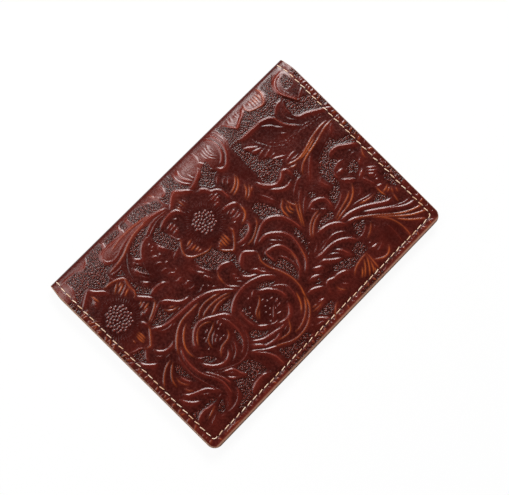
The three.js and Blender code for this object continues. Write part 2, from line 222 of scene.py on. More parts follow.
# The tooling, motif by motif: strokes by kind, each a run of points "x,y" on the flat sheet, apart by a slash
MOTIFS = {
    "top left petal": {
        "broad": """
        -44.8,65.2 -44.5,62.5 -43.5,60 -41.5,58.3 -39.5,57.8 -37,58.4 -34.5,59.6 -32.5,60.8 -31,61.3 -30.7,62
        """,
        "ridge": "-30.7,62 -32,63.5 -33,65.3 -33.8,67",
        "vein": "-43.4,64 -42.8,61.7 -41,60.2 -38.5,59.6 -35.5,60.6",
        "warm vein": "-29.5,70 -29.8,67.5 / -27.2,69.5 -27.6,67.8 -29,65.5",
    },
    "serrated leaf": {
        "bold": """
        -18.3,70 -20,67.8 -21.5,65.3 -23,62.7 -24.5,60 -25.2,58 -26,56.5 -28,55.2 / -23,53.8 -24.5,52.3
        -26.5,50.6 -28.8,49.3 -31,48.7 -32.8,48.2 -34.2,46.8 -35,45 -35.6,43 -35.7,40 -35.9,37 -36,34
        -36.2,31.5 / -32.2,29.7 -31.3,31.2 -30.3,32.5 -28.8,34.3 / -28.8,31 -28.3,32.7 -27.6,34.8
        """,
        "ridge": """
        -35.9,56.8 -35.9,54 -35,52 -33.5,50 -32.3,49.2 / -33.8,41.5 -32.8,43.2 -31.3,45 -29.5,46.2 -28,47.5
        -26.7,48.7 / -25.6,31.5 -25.9,33.5 -26.3,35.8 / -23.8,32.8 -23.6,34.5 -24.2,36 -24.5,38 / -20.6,32
        -20.5,34 -20,36.5 -18.8,38.7 -17.8,40.6
        """,
        "vein": """
        -28,55.2 -31,54.8 -33.3,55.3 -34.8,56.5 -35,58 / -34,53.8 -32.5,53 -30.5,52.3 -28.5,52.5 -26.5,53.8
        -25,54.8 / -26.2,45.5 -25,46.8 -24.2,47.5 / -21.8,38 -21.7,35.5 / -16.9,38.5 -18,37
        """,
        "cut": "-35,35.2 -31.5,35.6 -29.5,36.5 -27.5,37.8 -25.5,38.8",
    },
    "curl": {
        "bold": """
        -10.2,36.5 -12.5,36.6 -13.8,35.7 -14.1,34.2 -13,32.8 -12.2,31 -12.1,29 -12.8,27.2 -14.2,25.7 -16,24.2
        -18.5,22.9 / -8.6,34 -8.2,32 -8.4,30.3 -9.2,28.7 -10.5,27 -12,25.3
        """,
    },
    "stem fan": {
        "warm ridge": """
        -16.1,63.5 -16.2,60.5 -15.9,57 -15.2,53.5 -14.2,50 -13.4,47 -13.1,44 -13.5,41 -14.6,38 / -14.6,65.7
        -14.6,62 -13.9,58.5 -12.9,55 -12.2,51.5 -11.6,48 -10.8,45 -9.8,42.7 -8.3,40.8 -7,40 / -12.2,41.5
        -12,40 -12.9,37.8
        """,
        "warm vein": "-14.6,55 -13.4,51 -12.6,47 -12.4,44",
        "ridge": """
        -14.2,65.6 -12.8,63.3 -11.3,61.8 -10.4,61 / -0.8,44.2 1,43.2 3.5,43.8 5,44.8 / -11.2,49.5 -9.5,47
        -7.5,44.5 -5.3,42.2 -2.8,40.3 / -16.3,45 -16.5,42.5 -16.1,40 -15.3,38.3 / -14.5,45 -14.3,42.8
        -14.8,40.8 / -7,38.7 -6.8,36.5 -5.8,34.2 -4.5,32.2 -3,30.7 / -3.5,34.8 -2,32.8 -0.5,31 2,29 / 0,34.5
        2,31.5 4,29.3 6,27.5
        """,
        "cut": "-10.5,60.8 -9.8,57.5 -8.8,54.2 -7.5,50.7 -5.8,48 -3.5,45.7 -0.8,44.2",
    },
    "pear petal": {
        "broad": "0.2,66.3 -1.5,64.3 -3,62 -4.6,59.8 -5.3,58 -5.4,56 -5,54.5",
        "bold": "6.5,50.5 8.5,52.5 10.3,54.8 / 3.2,51.2 3.4,53.8",
        "ridge": "0.8,57 0.2,55 0.5,53 1.3,51.5 2,50.3 / 2,50.3 3.5,49.5 5,49.7",
        "vein": """
        8.7,51.5 10,51.3 / 5,54.5 5.1,56 / 5.9,57 6.2,58.5 / 7.5,56.5 7,54.8 / 0,62.8 0.2,61 / 1.8,63 1.8,61
        """,
    },
    "top flower": {
        "warm ridge": """
        2.5,67 4,65.6 5.5,64.8 7,64.8 / 19.8,58.7 22,58.6 24.5,59.2 / 26.5,62 28.5,61.5 30,61.3 / 22.7,59.5
        22.5,61.5 21.8,62.8 / 24,61 23.3,62.8 / 25.2,64.8 27,64.2 / 24,63.3 25.8,62.3
        """,
        "bold": """
        19.2,59 20.2,61.5 / 10.6,62.2 11.8,63.3 12.8,64.8 / 11.6,61.3 13,62.7 14,64.3 / 12.6,60.4 13.8,61.5
        14.6,62.8 / 9.7,60 10.5,58 11.6,56.6
        """,
        "ridge": """
        5.5,63 6.3,61.5 7.5,60.3 / 15.4,61 15.6,63 / 16.8,60.5 17.2,62.3 / 11.6,56.9 14,57.9 16.5,58.8
        18.8,59.4
        """,
        "cut": "11.5,56.5 14.5,57.5 17,58.5 19,59",
    },
    "acanthus": {
        "warm bold": "40.5,44.5 42,43 42.8,41 42.3,38.5 40.8,36.3 39.8,35.2",
        "warm ridge": """
        10.8,52 12,51.3 14,49.3 15.5,46.5 16.4,43 16.8,39.5 17.3,36 / 12.2,48.8 13.4,46.5 14.3,43.5 15.2,40
        16.2,36.5 / 20.7,55.5 20.6,53.8 20,51.2 19.2,48.6 / 38.4,68 37.8,65 36,60.8 33,56.3 29,51.6 25,46.7
        22.3,42.3 / 42,68.5 40.4,65 38.2,61 35,57 31,52.6 27.5,48.5 / 44.3,65 42.8,63.2 41,61 38,57.8 34.5,55
        / 46.5,54.3 44,54.5 41,54.8 37.5,54.6 34,53.6 31.3,52 29.5,50.3 / 28,46 29.5,44.5 30.8,42.5 31.7,40.3
        """,
        "bold": """
        27.1,60 26.9,58.3 25.8,56 24,53.3 22,50.2 20.3,46.9 19.1,43.6 18.5,40.2 18.5,37 / 34.8,66.5 34.3,63.6
        32.6,60.4 30,57 27.2,53.3 24.6,49.6 23,47 / 23.7,45.2 22.6,43.3 21.5,41 20.8,38.3 / 36.5,41.5
        36.3,39.5 35.8,38
        """,
        "ridge": """
        10,46.5 11.8,44 13,41 13.5,38 / 19.9,55.5 19.5,53 18.6,50.2 17.9,47.5 17.8,45 / 32.8,66 32.4,63
        31,59.6 28.8,56 26,51.8 / 27,44 28.5,42 29.3,40 29.3,37 / 37.5,43.5 38.3,41.5 38.6,40 38.2,38.5
        """,
        "vein": """
        13.2,54 15,53.2 16.3,51.5 16.3,49.8 / 33,50.3 37,50.6 41,50.3 44,49.5 / 34,40 33.9,38.5 / 30.3,46.5
        31.2,45.2
        """,
    },
    "right fan": {
        "warm bold": "44.5,34.3 42,34.6 40,34.8 38,35 36,35",
        "warm ridge": "36,35 36,33 36.3,30 37.2,27 38.8,24.7",
        "warm vein": """
        36.8,34.2 39,33 41.5,31.2 43.5,29.3 / 37.3,32.3 39.3,30.8 41.3,28.8 42.3,27.5 / 39,29.3 40.4,28
        41.8,26.3 / 39.8,33.8 42.3,32.7 44,31.3 / 42.8,33 44.3,32.5
        """,
    },
    "crescents": {
        "bold": """
        21.5,38 19.2,36.6 17.3,34.5 16,32 15.3,29.3 15.1,26.3 / 29.3,36.5 27,35 25,32.8 23.5,30 22.7,27
        22.5,24 22.5,21 22,18 / 31.5,29.8 29.5,29.2 27.3,28.2 25.6,26.6 / 30,26 28.3,23.5 26.6,21.4 25.2,19.8
        24.7,18 / 24.2,13.7 25.3,15.5 26,16.8 27,17.4 / 26.8,9 26.8,11 27.3,12.5 28.5,14.2
        """,
        "ridge": """
        23.7,35.5 22.2,34.2 21,32.3 20.3,30 20.5,27 21.2,24 21.4,21 / 29.3,27.4 27.3,26 25.8,24.3 25,22.5
        """,
        "vein": """
        20,28 19.7,25.5 20,23 / 18.3,23 19.5,21 20.3,18.5 / 25.5,10.5 25.8,9 26,8 / 10.3,19.7 11.3,18.3 /
        13,20 13.5,17.8 / 15.2,20 15.9,20.9 / 16.2,18.8 16.6,17.2 / 18.4,18.2 18.9,16.5 / 17,16.4 18.2,16 /
        19.5,15.3 20.2,16
        """,
        "cut": "21,38 24,38 27,37.3 29.3,36.5",
    },
    "bud and stems": {
        "bold": "12,38.6 9.3,39.4 7.2,39.2 5.6,37.8 4.6,35.8 4.2,34 4.8,32 5.3,31",
        "ridge": "5,31 7,32.3 8.5,33.5 / -13.5,20.3 -11,21.7 -8.7,22.5 -6.8,23.3",
        "vein": "8.5,34 9.5,35.2 11,36.5",
        "warm bold": "-5.7,26 -4.8,24.8 -3.5,23.2 -1.5,22.4 1.3,22.4",
        "warm ridge": """
        0,30.3 3,28 6,26 9,24.3 / -1,29 2,27.2 5,25.6 8,24 / 8.5,33.5 8.8,31 9.5,28.5 11,26 13,24 15,22.5 /
        10,33 10.3,30.5 11.5,27.8 13,25.8 15,23.5 / -4.5,26.6 -2.5,26.8 -0.5,27.8 1,29.2
        """,
        "warm vein": "-3,25.5 -1.5,24.5 0.3,24.3 1.5,24.8 / -2,26.3 -0.5,25.6 1,26",
    },
    "curling leaf": {
        "bold": """
        -0.2,3.2 -1.3,5 -2.5,7.5 -3.7,10 -4.4,12.2 -4.5,14.5 -3.6,17 -2,19.2 0,20.7 3,21.9 6,22.5 9,22.8 /
        0.3,5 -0.1,7 -0.1,9.5 0.8,11.5 2.3,13.5 4.3,15.5 6.5,16.7 9,17.2 12,16.9 15,16.2 18,15.2 20,14
        21.5,12.5 23,10.5 / 10.5,4.6 8,4.3 5.3,4.4 5.4,6.5 6,8.8 7.3,10.8 9.5,12 12.5,12.5 15.5,12.3 18,11.3
        20,10 22,8 / -9.7,8.3 -8,7.8 -6.5,6.3 -5.7,4.2 -5.3,2 -5.6,0 -6.1,-1.5
        """,
        "ridge": """
        10.3,7.2 11.5,8.2 13.5,9.2 16,9.7 19,9.5 21,8.6 22.7,7 23.5,5.8 / 2.5,9 4.2,10.6 6,12.3 / -3.5,1.5
        -3.4,0 -4,-1.3
        """,
        "vein": "4,8.2 5,9.5 / 2.8,12 4.5,13.4 7,14.2 / 5,11.3 6.3,12.7 8,13.4",
        "warm ridge": "-8.2,12 -6,10.5 -4.5,8.3 -3.3,6 -2.6,3.5 -2.5,1.5",
        "warm vein": "13.5,16.5 17,15.6 20,14.2 / 12.5,12.3 15,12 17.5,11.2",
    },
    "buds": {
        "bold": """
        2.8,1.8 1.5,1.2 0,-0.3 -1.2,-1.6 -1.5,-3 -0.9,-4.5 0.3,-6 1.5,-6.8 / 6.2,-5 7.5,-3.5 9,-3 10.5,-2
        12,-0.7 / 4.5,-10 6,-9.2 7.5,-7.8 8.5,-6 9.8,-4.8 / -2.6,-9.2 -3.6,-10.8 -4.4,-13 -4.2,-14.8 -3.3,-16
        / 2,-17.4 4,-17 5.5,-15.8 7.5,-14
        """,
        "warm bold": "-3.3,-16 -1.8,-17 0,-17.3 2,-17.4",
        "warm ridge": "2.8,1.8 4.3,1.3 6,0.5 8,0.5 11,1.2 14,2.7 17,3.8 20,4.6 23,4.8 26,4.5 28,3.8 30.5,3",
        "ridge": """
        7.3,-2.6 8.8,-1.6 10.8,-0.7 12,0 / 2.5,-12.9 4,-12.3 5.3,-11 / 4.5,-13.5 6,-12.3 7.2,-11.3 / 1.7,-12.2
        3,-11.5
        """,
    },
    "large scroll": {
        "bold": """
        15,0 12.5,-2 10.5,-5 9.2,-8.5 8.6,-12 8.8,-16 9.8,-19.5 11.8,-22.8 13.5,-24.5 / 14.5,-9.8 15.3,-8
        16.8,-6 18.5,-4.5 20.5,-3.3 22.5,-2.7 25,-2.8 / 31.8,-11 32,-14 31.3,-17 30.7,-20 30,-22.5 28.5,-25
        27,-26.8 / 33,-15 33.8,-18 33.3,-21.5 32.2,-24.5 30.5,-26.5 28.3,-28.3 / 36.5,-20 35,-23 33,-26
        31,-28.3 29.8,-30.3 / 24,-20.6 25.4,-19.4 26.6,-18 27.7,-16.6 / 26.5,-4 28.5,-5 30.3,-6.8 31,-9
        30.7,-11.5 29.9,-13.7
        """,
        "ridge": """
        17.5,-5 17.8,-3.2 19,-1.3 20.5,0 22,0.8 24.5,0.7 27,0.2 29.5,-1 / 32.3,-10 33.6,-12.3 34.2,-14.5 /
        13.5,-20.8 16,-21.5 19,-21.8 22,-21.4 24.5,-20.5
        """,
        "warm ridge": """
        30.5,3 33.5,1.8 36,-0.2 37.8,-2.5 39.3,-5.5 39.9,-9 39.7,-12.5 38.7,-15.5 37,-18.5 35.5,-21.5 / 30,2.5
        32.5,0.8 34.8,-1.5 36.5,-4.5 37.5,-7.5 37.6,-10.5 / 26.5,1.4 29.5,0.3 32,-1.3 33.8,-3.3 / 31.5,-9
        33.5,-10 35.3,-11.5 35.9,-13.5 35.5,-16 34.8,-18.3
        """,
        "warm bold": "16,-10.8 17.5,-12 18.7,-13.8 19.6,-15.8 20.8,-17.2 22.3,-17.8",
        "vein": "13.8,-24 17,-24.3 20,-24.2 23,-24",
        "fleck": """
        18.2,-10.4 18.6,-11.6 / 24.4,-6.2 24.9,-8.8 / 27.4,-8.4 27.2,-9.8 26.6,-11.2 / 22.3,-5.8 23,-7.6 /
        20.6,-7 20.4,-8.6 / 22.9,-8.6 24.6,-10.6 26.2,-12.2 27.6,-13.8 / 28.9,-12 28.9,-13.8 28.4,-15.8 /
        12.9,-10.6 13.4,-12 14.3,-13
        """,
        "warm vein": "20.2,-14.8 21.5,-16.3 22.8,-17.3",
    },
    "stems and blades": {
        "bold": """
        7.5,-15.5 5,-18 3,-20.5 1,-23 -0.5,-26 -1.6,-29.5 -2.2,-33 -2.5,-37 -2.7,-41 -3,-45 -3.8,-48.5
        -5.3,-51 -6.2,-52.5
        """,
        "warm bold": "0,-31 0,-35 0,-39 0.5,-42 1.8,-45 4,-48 6.5,-50.5 9,-52",
        "warm ridge": """
        6.3,-18.5 5.2,-21.5 4.5,-25 4.3,-28.5 4.8,-32 5.7,-34 / 3.3,-22 2.2,-26 1.9,-29.5 2.6,-32.8 4.3,-35.3
        / 7,-20 6.3,-23 6.2,-26 7,-29 7.3,-30.5
        """,
        "ridge": "-2,-43.5 -1.5,-46 -1.8,-48.5 -2.8,-50.3 -3.7,-51.3",
        "vein": "-1,-43.7 -0.5,-45.5",
    },
    "small scroll": {
        "bold": """
        14,-25 11.5,-26.3 9.8,-28.3 8.6,-30.5 7,-33 5.9,-36 6.1,-38.5 7.3,-41 9.3,-43.2 11.5,-44.6 13,-44.9 /
        22.5,-35.8 24,-37.2 25,-39.3 25,-41.5 24,-43.8 22.3,-45.8 20.2,-47.4 18.5,-48.2 / 27.3,-44.8
        28.3,-42.8 29.2,-41 30.8,-40 33,-39.3 35,-38 / 30,-44.7 32,-43.2 33.5,-41.5 / 8,-49.5 12,-51.3
        16,-51.8 20,-51.5 23,-50.5 25.5,-49 28,-47.8 31,-47.2 34,-47.5 37,-48.3 / 22,-50 25,-48 28,-46.5
        31,-45.5 34,-45.2
        """,
        "ridge": """
        10.5,-29.5 13,-28 16,-27.3 19.5,-27.3 23,-28.2 25.5,-29.8 27.3,-32 28,-34 / 21,-31.5 23.5,-32.5
        25.5,-34.2 26.8,-36.5 27.5,-38.5 / 35.5,-44.8 37.5,-45.5 39.2,-47 40.5,-49.5 41,-52.5 40.5,-55 /
        31,-48.8 34,-48.6 36.5,-49.6 38.5,-51.5 39.6,-53.8 / 9,-52 12,-53.5 16,-54 20,-54 24,-53.2 28,-52
        31,-51 34,-50.2 / 29,-44 30.5,-42 32.5,-40.7 / 25,-47.3 26.5,-45.5
        """,
        "vein": """
        14.5,-25 18,-24.9 22,-25.5 25.5,-27 28,-29.3 29.7,-32.5 29.9,-36 28.8,-39.5 27,-43 25,-45.8 22.5,-48.2
        / 21.5,-33.2 23.7,-34.3 25.3,-36
        """,
        "fleck": """
        13,-34 14.2,-36.4 15.6,-38.2 17.4,-39.6 / 20.4,-35.4 20.9,-38 22.6,-40.3 / 18.5,-44.4 17.2,-46.6
        15.6,-48.2 / 13.6,-35.6 14.4,-37.2 / 15.4,-35.8 16.6,-37.8 / 10.6,-36 11,-38 / 13.2,-38.8 13.9,-40.6 /
        11,-30.4 12.2,-31.8 / 12.8,-30 13.3,-31.4 / 17,-34 17.6,-36
        """,
        "warm bold": "16.5,-30.5 18,-31.2 19.2,-32.8 19.5,-34.8 19.8,-37 20.8,-38.8 22.3,-40",
        "warm ridge": """
        10.3,-32.5 11.5,-34.5 12.3,-36.8 13.5,-38.8 15.3,-40 17,-40.3 / 9.2,-33 8,-34.8 7.4,-37 7.7,-39 9,-41
        10.7,-42.6 12.3,-43.6 / 2.5,-41 4,-43.8 6.3,-46.3 8.8,-48 12,-48.7 15,-48.3
        """,
    },
    "right edge": {
        "broad": "28.3,-28 30.5,-25.8 32.8,-23.5",
        "bold": """
        36,24.3 34.5,22.5 33.6,20 33.4,17.5 32.5,15 32.7,14 34,12.8 / 30,4.5 30.2,7 31,9 32.3,10.8 33.2,11.7 /
        36.3,5 36.2,6.8 36.8,8.3 / 39.8,-0.5 41.5,1.5 43.5,3.3 44.5,4.3 / 30,-30 31.5,-28.8 33,-27.5 35,-25.8
        37.5,-24.5 40,-23.8 44,-23.7 / 41.5,-31 40.6,-33 40.4,-35.5 40.7,-38 41.5,-40 42.5,-41
        """,
        "ridge": """
        37,18 38.3,18.7 39.8,20 / 38.5,14.8 40,16.3 / 42,-3 42.7,0 44,2.5 / 43,-8 43.8,-6.5 45,-5.8
        """,
        "vein": """
        34,12.8 36,12 37.5,11.7 / 38,7 38,4 38.5,1 / 40.5,-4 41.5,-3 / 41.3,-14 41.6,-15 / 41.8,-16.5
        42.3,-17.8 / 43,-17.3 43.3,-18.3 / 38.5,-20.5 39,-19.5
        """,
        "warm ridge": """
        37,15.5 38.7,16 40.5,17.5 / 37,1 37.3,4 37,6.5 / 35.7,2 36,4.3 / 41.8,11 42,9.8 43.3,8 45,6.3 47,5
        """,
        "cut": "31,-33 33.5,-31 36.5,-29.8 40,-29.7 43,-31",
    },
    "bottom right": {
        "bold": """
        0.8,-58 2.5,-57 3.8,-55.5 4.5,-53.5 4.5,-51.5 4,-50 / 0,-66.2 2,-65.2 4,-63.5 6,-61 / 16,-58.5 18,-58
        20,-57.2 21.3,-56.3 / 22.3,-62.8 24,-61.2 25,-59.5 26,-57.3 27.2,-54.7 29,-52.8 31.5,-51.2 / 23,-65
        25.5,-63.8 27.8,-61.8 29.5,-59.3 / 34,-56.3 33.7,-59 33.1,-61.5 33.5,-64 34.8,-66
        """,
        "ridge": """
        2.8,-59.5 4.3,-58.3 5.2,-57 / -2,-59.8 -0.5,-61.5 1,-62.7 3,-63 / 27.3,-58 28.8,-56 30.3,-54 /
        35,-50.3 37,-51 38.5,-52.3 39.5,-53.7
        """,
        "warm bold": "8.5,-56.5 9,-59 10.3,-61.5 12.3,-64 14.5,-66",
        "warm ridge": """
        9.8,-56.3 11,-58 13,-60.3 15.5,-61.8 18,-62.3 / 15.5,-59.8 17.5,-60 19.5,-59.3 21,-58.3 / 20.5,-60.5
        22.5,-60 23.8,-58.7 / 35,-57 36,-60 36.8,-62.3
        """,
        "vein": "6.8,-54 6.5,-57 / 37.5,-58 38.5,-60.5 39.8,-64 / 40.5,-56.3 39.9,-58 / 33.3,-50.8 33.8,-53",
    },
    "middle flower": {
        "bold": """
        -33.2,2.3 -33,3.8 -32.2,5 -30.8,5.8 -29.5,6.4 -28.8,7.7 -27.8,9 -26.5,9.8 -25,10.1 -23,10.2 -21.5,10 /
        -20.4,4 -20.2,6.5 -19.6,8.8 -18.6,10.3 -17,11 / -34.8,1 -35.6,0.8 -36.8,-0.6 -38.3,-2.3 -39.9,-4.2
        -40.2,-5.5 -39.5,-7 -38.3,-8.8 -37.3,-9.8 -36,-11.3 / -31,-8.3 -32.6,-8.9 -34.1,-10 -34.8,-11.8
        -34.9,-14 -34.6,-16.5 -33.8,-18.8 -33,-20 / -27,8 -26.8,5 -27,3.5 / -25.7,7.3 -25.2,4.5 / -24.3,6
        -24,3 / -17.2,8.3 -16.6,5.5 / -15.5,9 -14.7,6.5 -15.3,4.5 / -14,9 -13.8,6.5 -14.6,4.5 / -31.5,-15
        -31,-18 / -30,-14.5 -29.7,-17.5 / -28.3,-15 -27.8,-17.2 / -19.5,-14.3 -19,-16.5 -19.3,-18.3
        """,
        "warm bold": """
        -13,-2.8 -9,-2.8 / -13,-4 -8.6,-4.2 / -12.5,-5.2 -8.6,-5.4 / -16.5,-14 -16.3,-16 / -17,11 -15,11
        -13.2,10.5 -11.8,9.2 -11,7.5 -10.5,6 / -13.3,0.9 -11.5,1.3 -10,0.5 -8.3,-0.9 -6.8,-2.3 -5.5,-3.8
        -5.3,-4.6 -6.3,-6 -7.8,-7.5 -9.5,-8.7
        """,
        "ridge": """
        -29.5,-19.5 -27,-19 -25,-18.3 -24.3,-17.2 -24.2,-16.3 / -28,7 -28.3,4.5 / -18,6 -17.6,4.5 / -12.7,5
        -13.5,3.3 / -32.3,-13.3 -31,-12.2 / -36,-5.3 -34.5,-4.9 -33,-4.6 / -35.5,-7.3 -32.8,-7.2
        """,
        "warm ridge": """
        -36.3,-6.3 -33,-6 / -35,-8.5 -32.5,-8.4 / -12,-6.4 -10,-6.6 / -11,-7.4 -9.7,-7.7 / -21,-14.3 -20.3,-17
        / -18,-14.5 -17.8,-17 / -15,-13.8 -15.2,-15.5 / -13,-10 -12.6,-12 -13,-14 -14,-16.5 -15.3,-18.8
        -17,-20.3 -18.8,-20.6 -20.8,-19.8 -22.6,-18.6 -24,-17.3
        """,
    },
    "feather leaf": {
        "warm ridge": """
        -27.5,18.8 -25.5,17.2 -24,15.2 -23.3,13 -23.2,12 / -26.3,19 -24.3,17.8 -22.8,16 -22,14 -21.6,12.5 /
        -21.5,18.7 -19.5,17.8 -18,16.3 -17.2,14.8 / -20,20 -18,18.5 -16.8,16.8 -16.3,15 / -18.8,20.5 -17.5,19
        """,
        "ridge": "-32.3,13.5 -31,11.8 -29.5,10.5 / -29.8,14.8 -28.5,13 -27.5,12 / -28.5,16 -27,14.5 -26,13.3",
    },
    "lower flower": {
        "warm bold": """
        -32.1,-54.5 -31.8,-51 -31,-48.5 -30,-46.6 -28.8,-45.7 -26.5,-46.3 -24.5,-46.5 -22.5,-46.5 -21.2,-47.2
        -20.5,-48.5 / -14,-43.2 -12.6,-44.2 -11,-46.8 -9.8,-49.5 -9,-51.5 / -28,-47.7 -27.2,-49.5 -26.5,-51.5
        / -25,-47.3 -24.5,-49 -23.8,-50.5 / -14.8,-46 -14.2,-49 / -33.5,-60.5 -30,-60 / -8,-52.5 -6.5,-53.3
        -4.5,-55 -2.5,-56.8 -1.6,-58 -2.3,-60
        """,
        "bold": """
        -20.5,-47.6 -18.5,-46 -16.5,-44.2 -15,-43.3 -14,-43.2 / -11.8,-53.8 -10,-52.9 -8,-52.5 / -26.5,-47
        -25.7,-49.2 -24.8,-51.8 / -16.3,-46.5 -15.5,-49.5 / -13.5,-47 -12.8,-50.5 / -14,-50 -12.8,-51.5 /
        -31.5,-61 -28.8,-62 / -29.5,-55.1 -31.3,-55.6 -33.5,-58 -36.2,-59.8
        """,
        "ridge": "-2.3,-60 -4,-62 -4.5,-64 -5.5,-66 / -36.2,-59.8 -35.5,-61.5 -34.3,-63.5 -33,-65.5 -32,-67",
        "warm vein": """
        -29,-47.5 -28.3,-49.5 / -30,-48.8 -28.8,-51 -27.5,-53 / -17.5,-47.5 -16.5,-49 / -9,-57.3 -7.3,-57.1
        -5.5,-57.2 / -9,-58.2 -7,-58.1 -5,-58.2 / -8.5,-59 -6.5,-59.1 -4.8,-58.9 / -8.5,-61.3 -7,-61.4
        """,
        "vein": "-11.5,-55 -10.4,-56.2",
        "warm ridge": """
        -30.4,-65.5 -30.2,-67.5 -30.3,-70 / -26.5,-70 -25.3,-68 -24.3,-66 / -24.5,-70 -23.5,-68 -22.8,-66.5 /
        -21,-70 -20.3,-68 / -15.5,-67.5 -14.3,-69 -13.8,-70 / -12.5,-68 -11.5,-70
        """,
    },
    "crescent leaf": {
        "bold": """
        -32.3,-37 -30.8,-36.2 -29.8,-34.7 / -29.5,-40.2 -27,-39.5 -24.5,-38.2 -22.3,-36.9 / -22.9,-41.5
        -21.7,-40.7 -20.5,-39.5 / -29.5,-26 -27.5,-25.5 -25.7,-24.6 / -9.7,-22.3 -8.3,-21.2 -6.3,-20 /
        -7,-21.5 -5.2,-20.6 -3.5,-19.8 / -15.3,-34.3 -16.5,-35.5 -17.2,-38 -17.2,-40.5 -16.6,-42.5 /
        -4.7,-31.8 -5.2,-34.5 -6.5,-36.7 -8.5,-38.3 -10.2,-39.8 -11.7,-42
        """,
        "ridge": """
        -34.2,-25 -34.5,-27.5 -33.9,-30 -32.3,-32.3 -30.3,-34 -28,-34.8 / -31.8,-38.5 -29.8,-37.8 -28.6,-36.4
        / -26.5,-40.3 -23.5,-39.3 -22,-38.3 / -13,-20 -11,-20.2 -9,-19.5 -7,-18.6 -5.2,-17.8 / -22,-20.5
        -21.5,-22.8 -20.5,-25 / -11.7,-42 -11.3,-44 -10.2,-46.5 -9,-49 -8.3,-51.5
        """,
        "vein": "-13.5,-22.7 -11,-22.8 -9.5,-22.4 / -4,-37.5 -3.8,-39",
        "warm ridge": "-5,-38 -5.3,-40 -6.5,-42 -8,-43",
        "warm vein": "-6.3,-39 -7.3,-41",
        "cut": "-37.5,-36 -34,-39.5 -31,-41.8 -28,-43 -25,-43.2 -22,-42 -20.5,-40.5",
    },
    "paired dashes": {
        "ridge": """
        -29.6,-29.7 -28.7,-29 / -27.3,-31.5 -26.6,-29.9 -25.4,-29.2 / -24.3,-32.3 -23.6,-30.7 -22.3,-29.4 /
        -21.4,-33.1 -20.2,-32.3 -19.9,-30.6 -19,-29.9 / -17.4,-31.3 -17,-30 -16.2,-29.3 -16,-28 / -13.5,-31.5
        -12.6,-30.3 -12.8,-29 -12.2,-28 / -10,-30.3 -9.2,-29 -9.6,-27.8 -8.2,-26.4 / -6.9,-29.8 -6.2,-28
        -6.6,-26.4 / -3.3,-28 -2.9,-26.5 -3.8,-25 / -26.3,-28.3 -25.3,-27.6 / -21.9,-28.6 -21.1,-27.9 /
        -30.4,-28.1 -29.8,-27.6 / -32.2,-28.4 -31.4,-28.1 / -16.8,-27 -16.3,-27.8 / -4,-24.7 -3.2,-24 /
        -0.8,-22.2 0.3,-20.8 / -2.5,-23.2 -1.7,-22.6
        """,
    },
    "spine side": {
        "warm bold": """
        -48,52 -46,52.8 -44.3,52.5 -42.3,51.5 -40.8,50.2 -40.4,49 -40.9,46.5 -41.6,44.5 -42.5,43 -44.5,42.5
        -46,43.3 / -39.9,-22 -39.8,-26 -39.5,-30 -38.3,-34 -36.8,-37.5 -35.8,-41 -35.3,-44.5 -35.1,-48
        """,
        "warm vein": """
        -45.8,50.3 -44,50.7 -42.5,50 / -45.8,49.2 -44,49 -42.3,48.7 / -45.5,48 -43.5,47.8 -42,47.5 /
        -45.5,46.6 -43.7,46.4 -42.3,46 / -45.3,45.2 -43.8,45
        """,
        "bold": """
        -45.3,42 -43.8,40 -42.6,37.7 -41.5,35.3 -41,33.8 -42.5,32.8 -44.3,31.4 -46,30.5 / -48,22.3 -46.3,23.7
        -44,24.5 -41,24.7 -38.5,24 -36.5,23 -34.8,21.5 -33.3,19.8 -32.7,18 -33.3,16.3 -34.7,15.4 / -48,20.3
        -46,21.6 -43.5,22.4 -41,22.5 -38.5,21.8 -36.8,20.5 -35.6,19 -34.9,17.3 / -40,9.3 -38.7,7.7 -37.6,5.7
        -36.9,3.7 -36.5,1.8 -36.8,0.5 / -46,2.5 -44.8,1.8 -43,1.5 -41.3,2 -39.8,2.8 -38.2,3.8 / -37.8,-12.5
        -38.8,-15.5 -39.7,-19 -40.2,-22 -40.3,-25
        """,
        "ridge": """
        -48,24.3 -46,25.5 -43.5,26 -41,26 -38.5,25.3 / -44.7,19.3 -43,18.4 -41.5,18.2 -40,18.6 / -44.7,17.7
        -42.5,17.2 -40.5,17.4 -38.8,18.5 / -44.5,16.2 -42,15.9 -40,16.3 -38.3,17.5 / -44,14.8 -41.5,14.8
        -39.5,15.5 / -47.5,12 -45,12.4 -43.3,12 -41.8,11.5 -40.3,12.3 -38.5,13 -36.5,13 -35,13.8 -34.5,14.8 /
        -46,0 -44,-0.4 -42,-0.2 -40,0.7 -38.3,2 -37.3,3.3 / -47.5,-9 -46.5,-7.8 -45,-7.3 -43.5,-7.8 -42.5,-8.8
        -42.2,-10.3 -43,-11.5 -44.5,-12.3 / -47,-17.5 -45,-16.3 -43,-16 -41,-15 / -46.5,-19.5 -44,-18.6
        -41.5,-18 / -37,-12.5 -37.3,-16 -37.6,-19 -37.2,-22 -36.3,-24.5 -35.3,-26.5 / -42.4,-33 -43,-37.5
        -43.5,-41 -43.3,-43.8 -42.2,-45.6 -40.5,-46.4 -38.8,-45.6 -37.7,-43.6 -37.8,-41 -38.8,-38 -39.8,-34.5
        -40.3,-31 -40.5,-27 -40.2,-23 / -34,-47 -33.6,-48.2 / -47.5,-42.7 -46,-42 -44,-42.4 -43.4,-42 /
        -46.8,-25 -46.1,-27.5 -46,-30 -46.5,-32 / -47.3,-31.5 -45.5,-32.7 -44,-32.2 -43,-32.2 / -47.5,-51.5
        -46,-52 -44.5,-53.5 -43.5,-56 / -43,-64.2 -41.5,-63.8 -40,-64
        """,
        "warm ridge": """
        -47.5,-14 -46,-13 -44,-12.6 / -40.8,-20 -41.6,-24 -42.2,-28 -42.4,-32 -42.2,-36 -41.6,-39 -41.3,-41
        """,
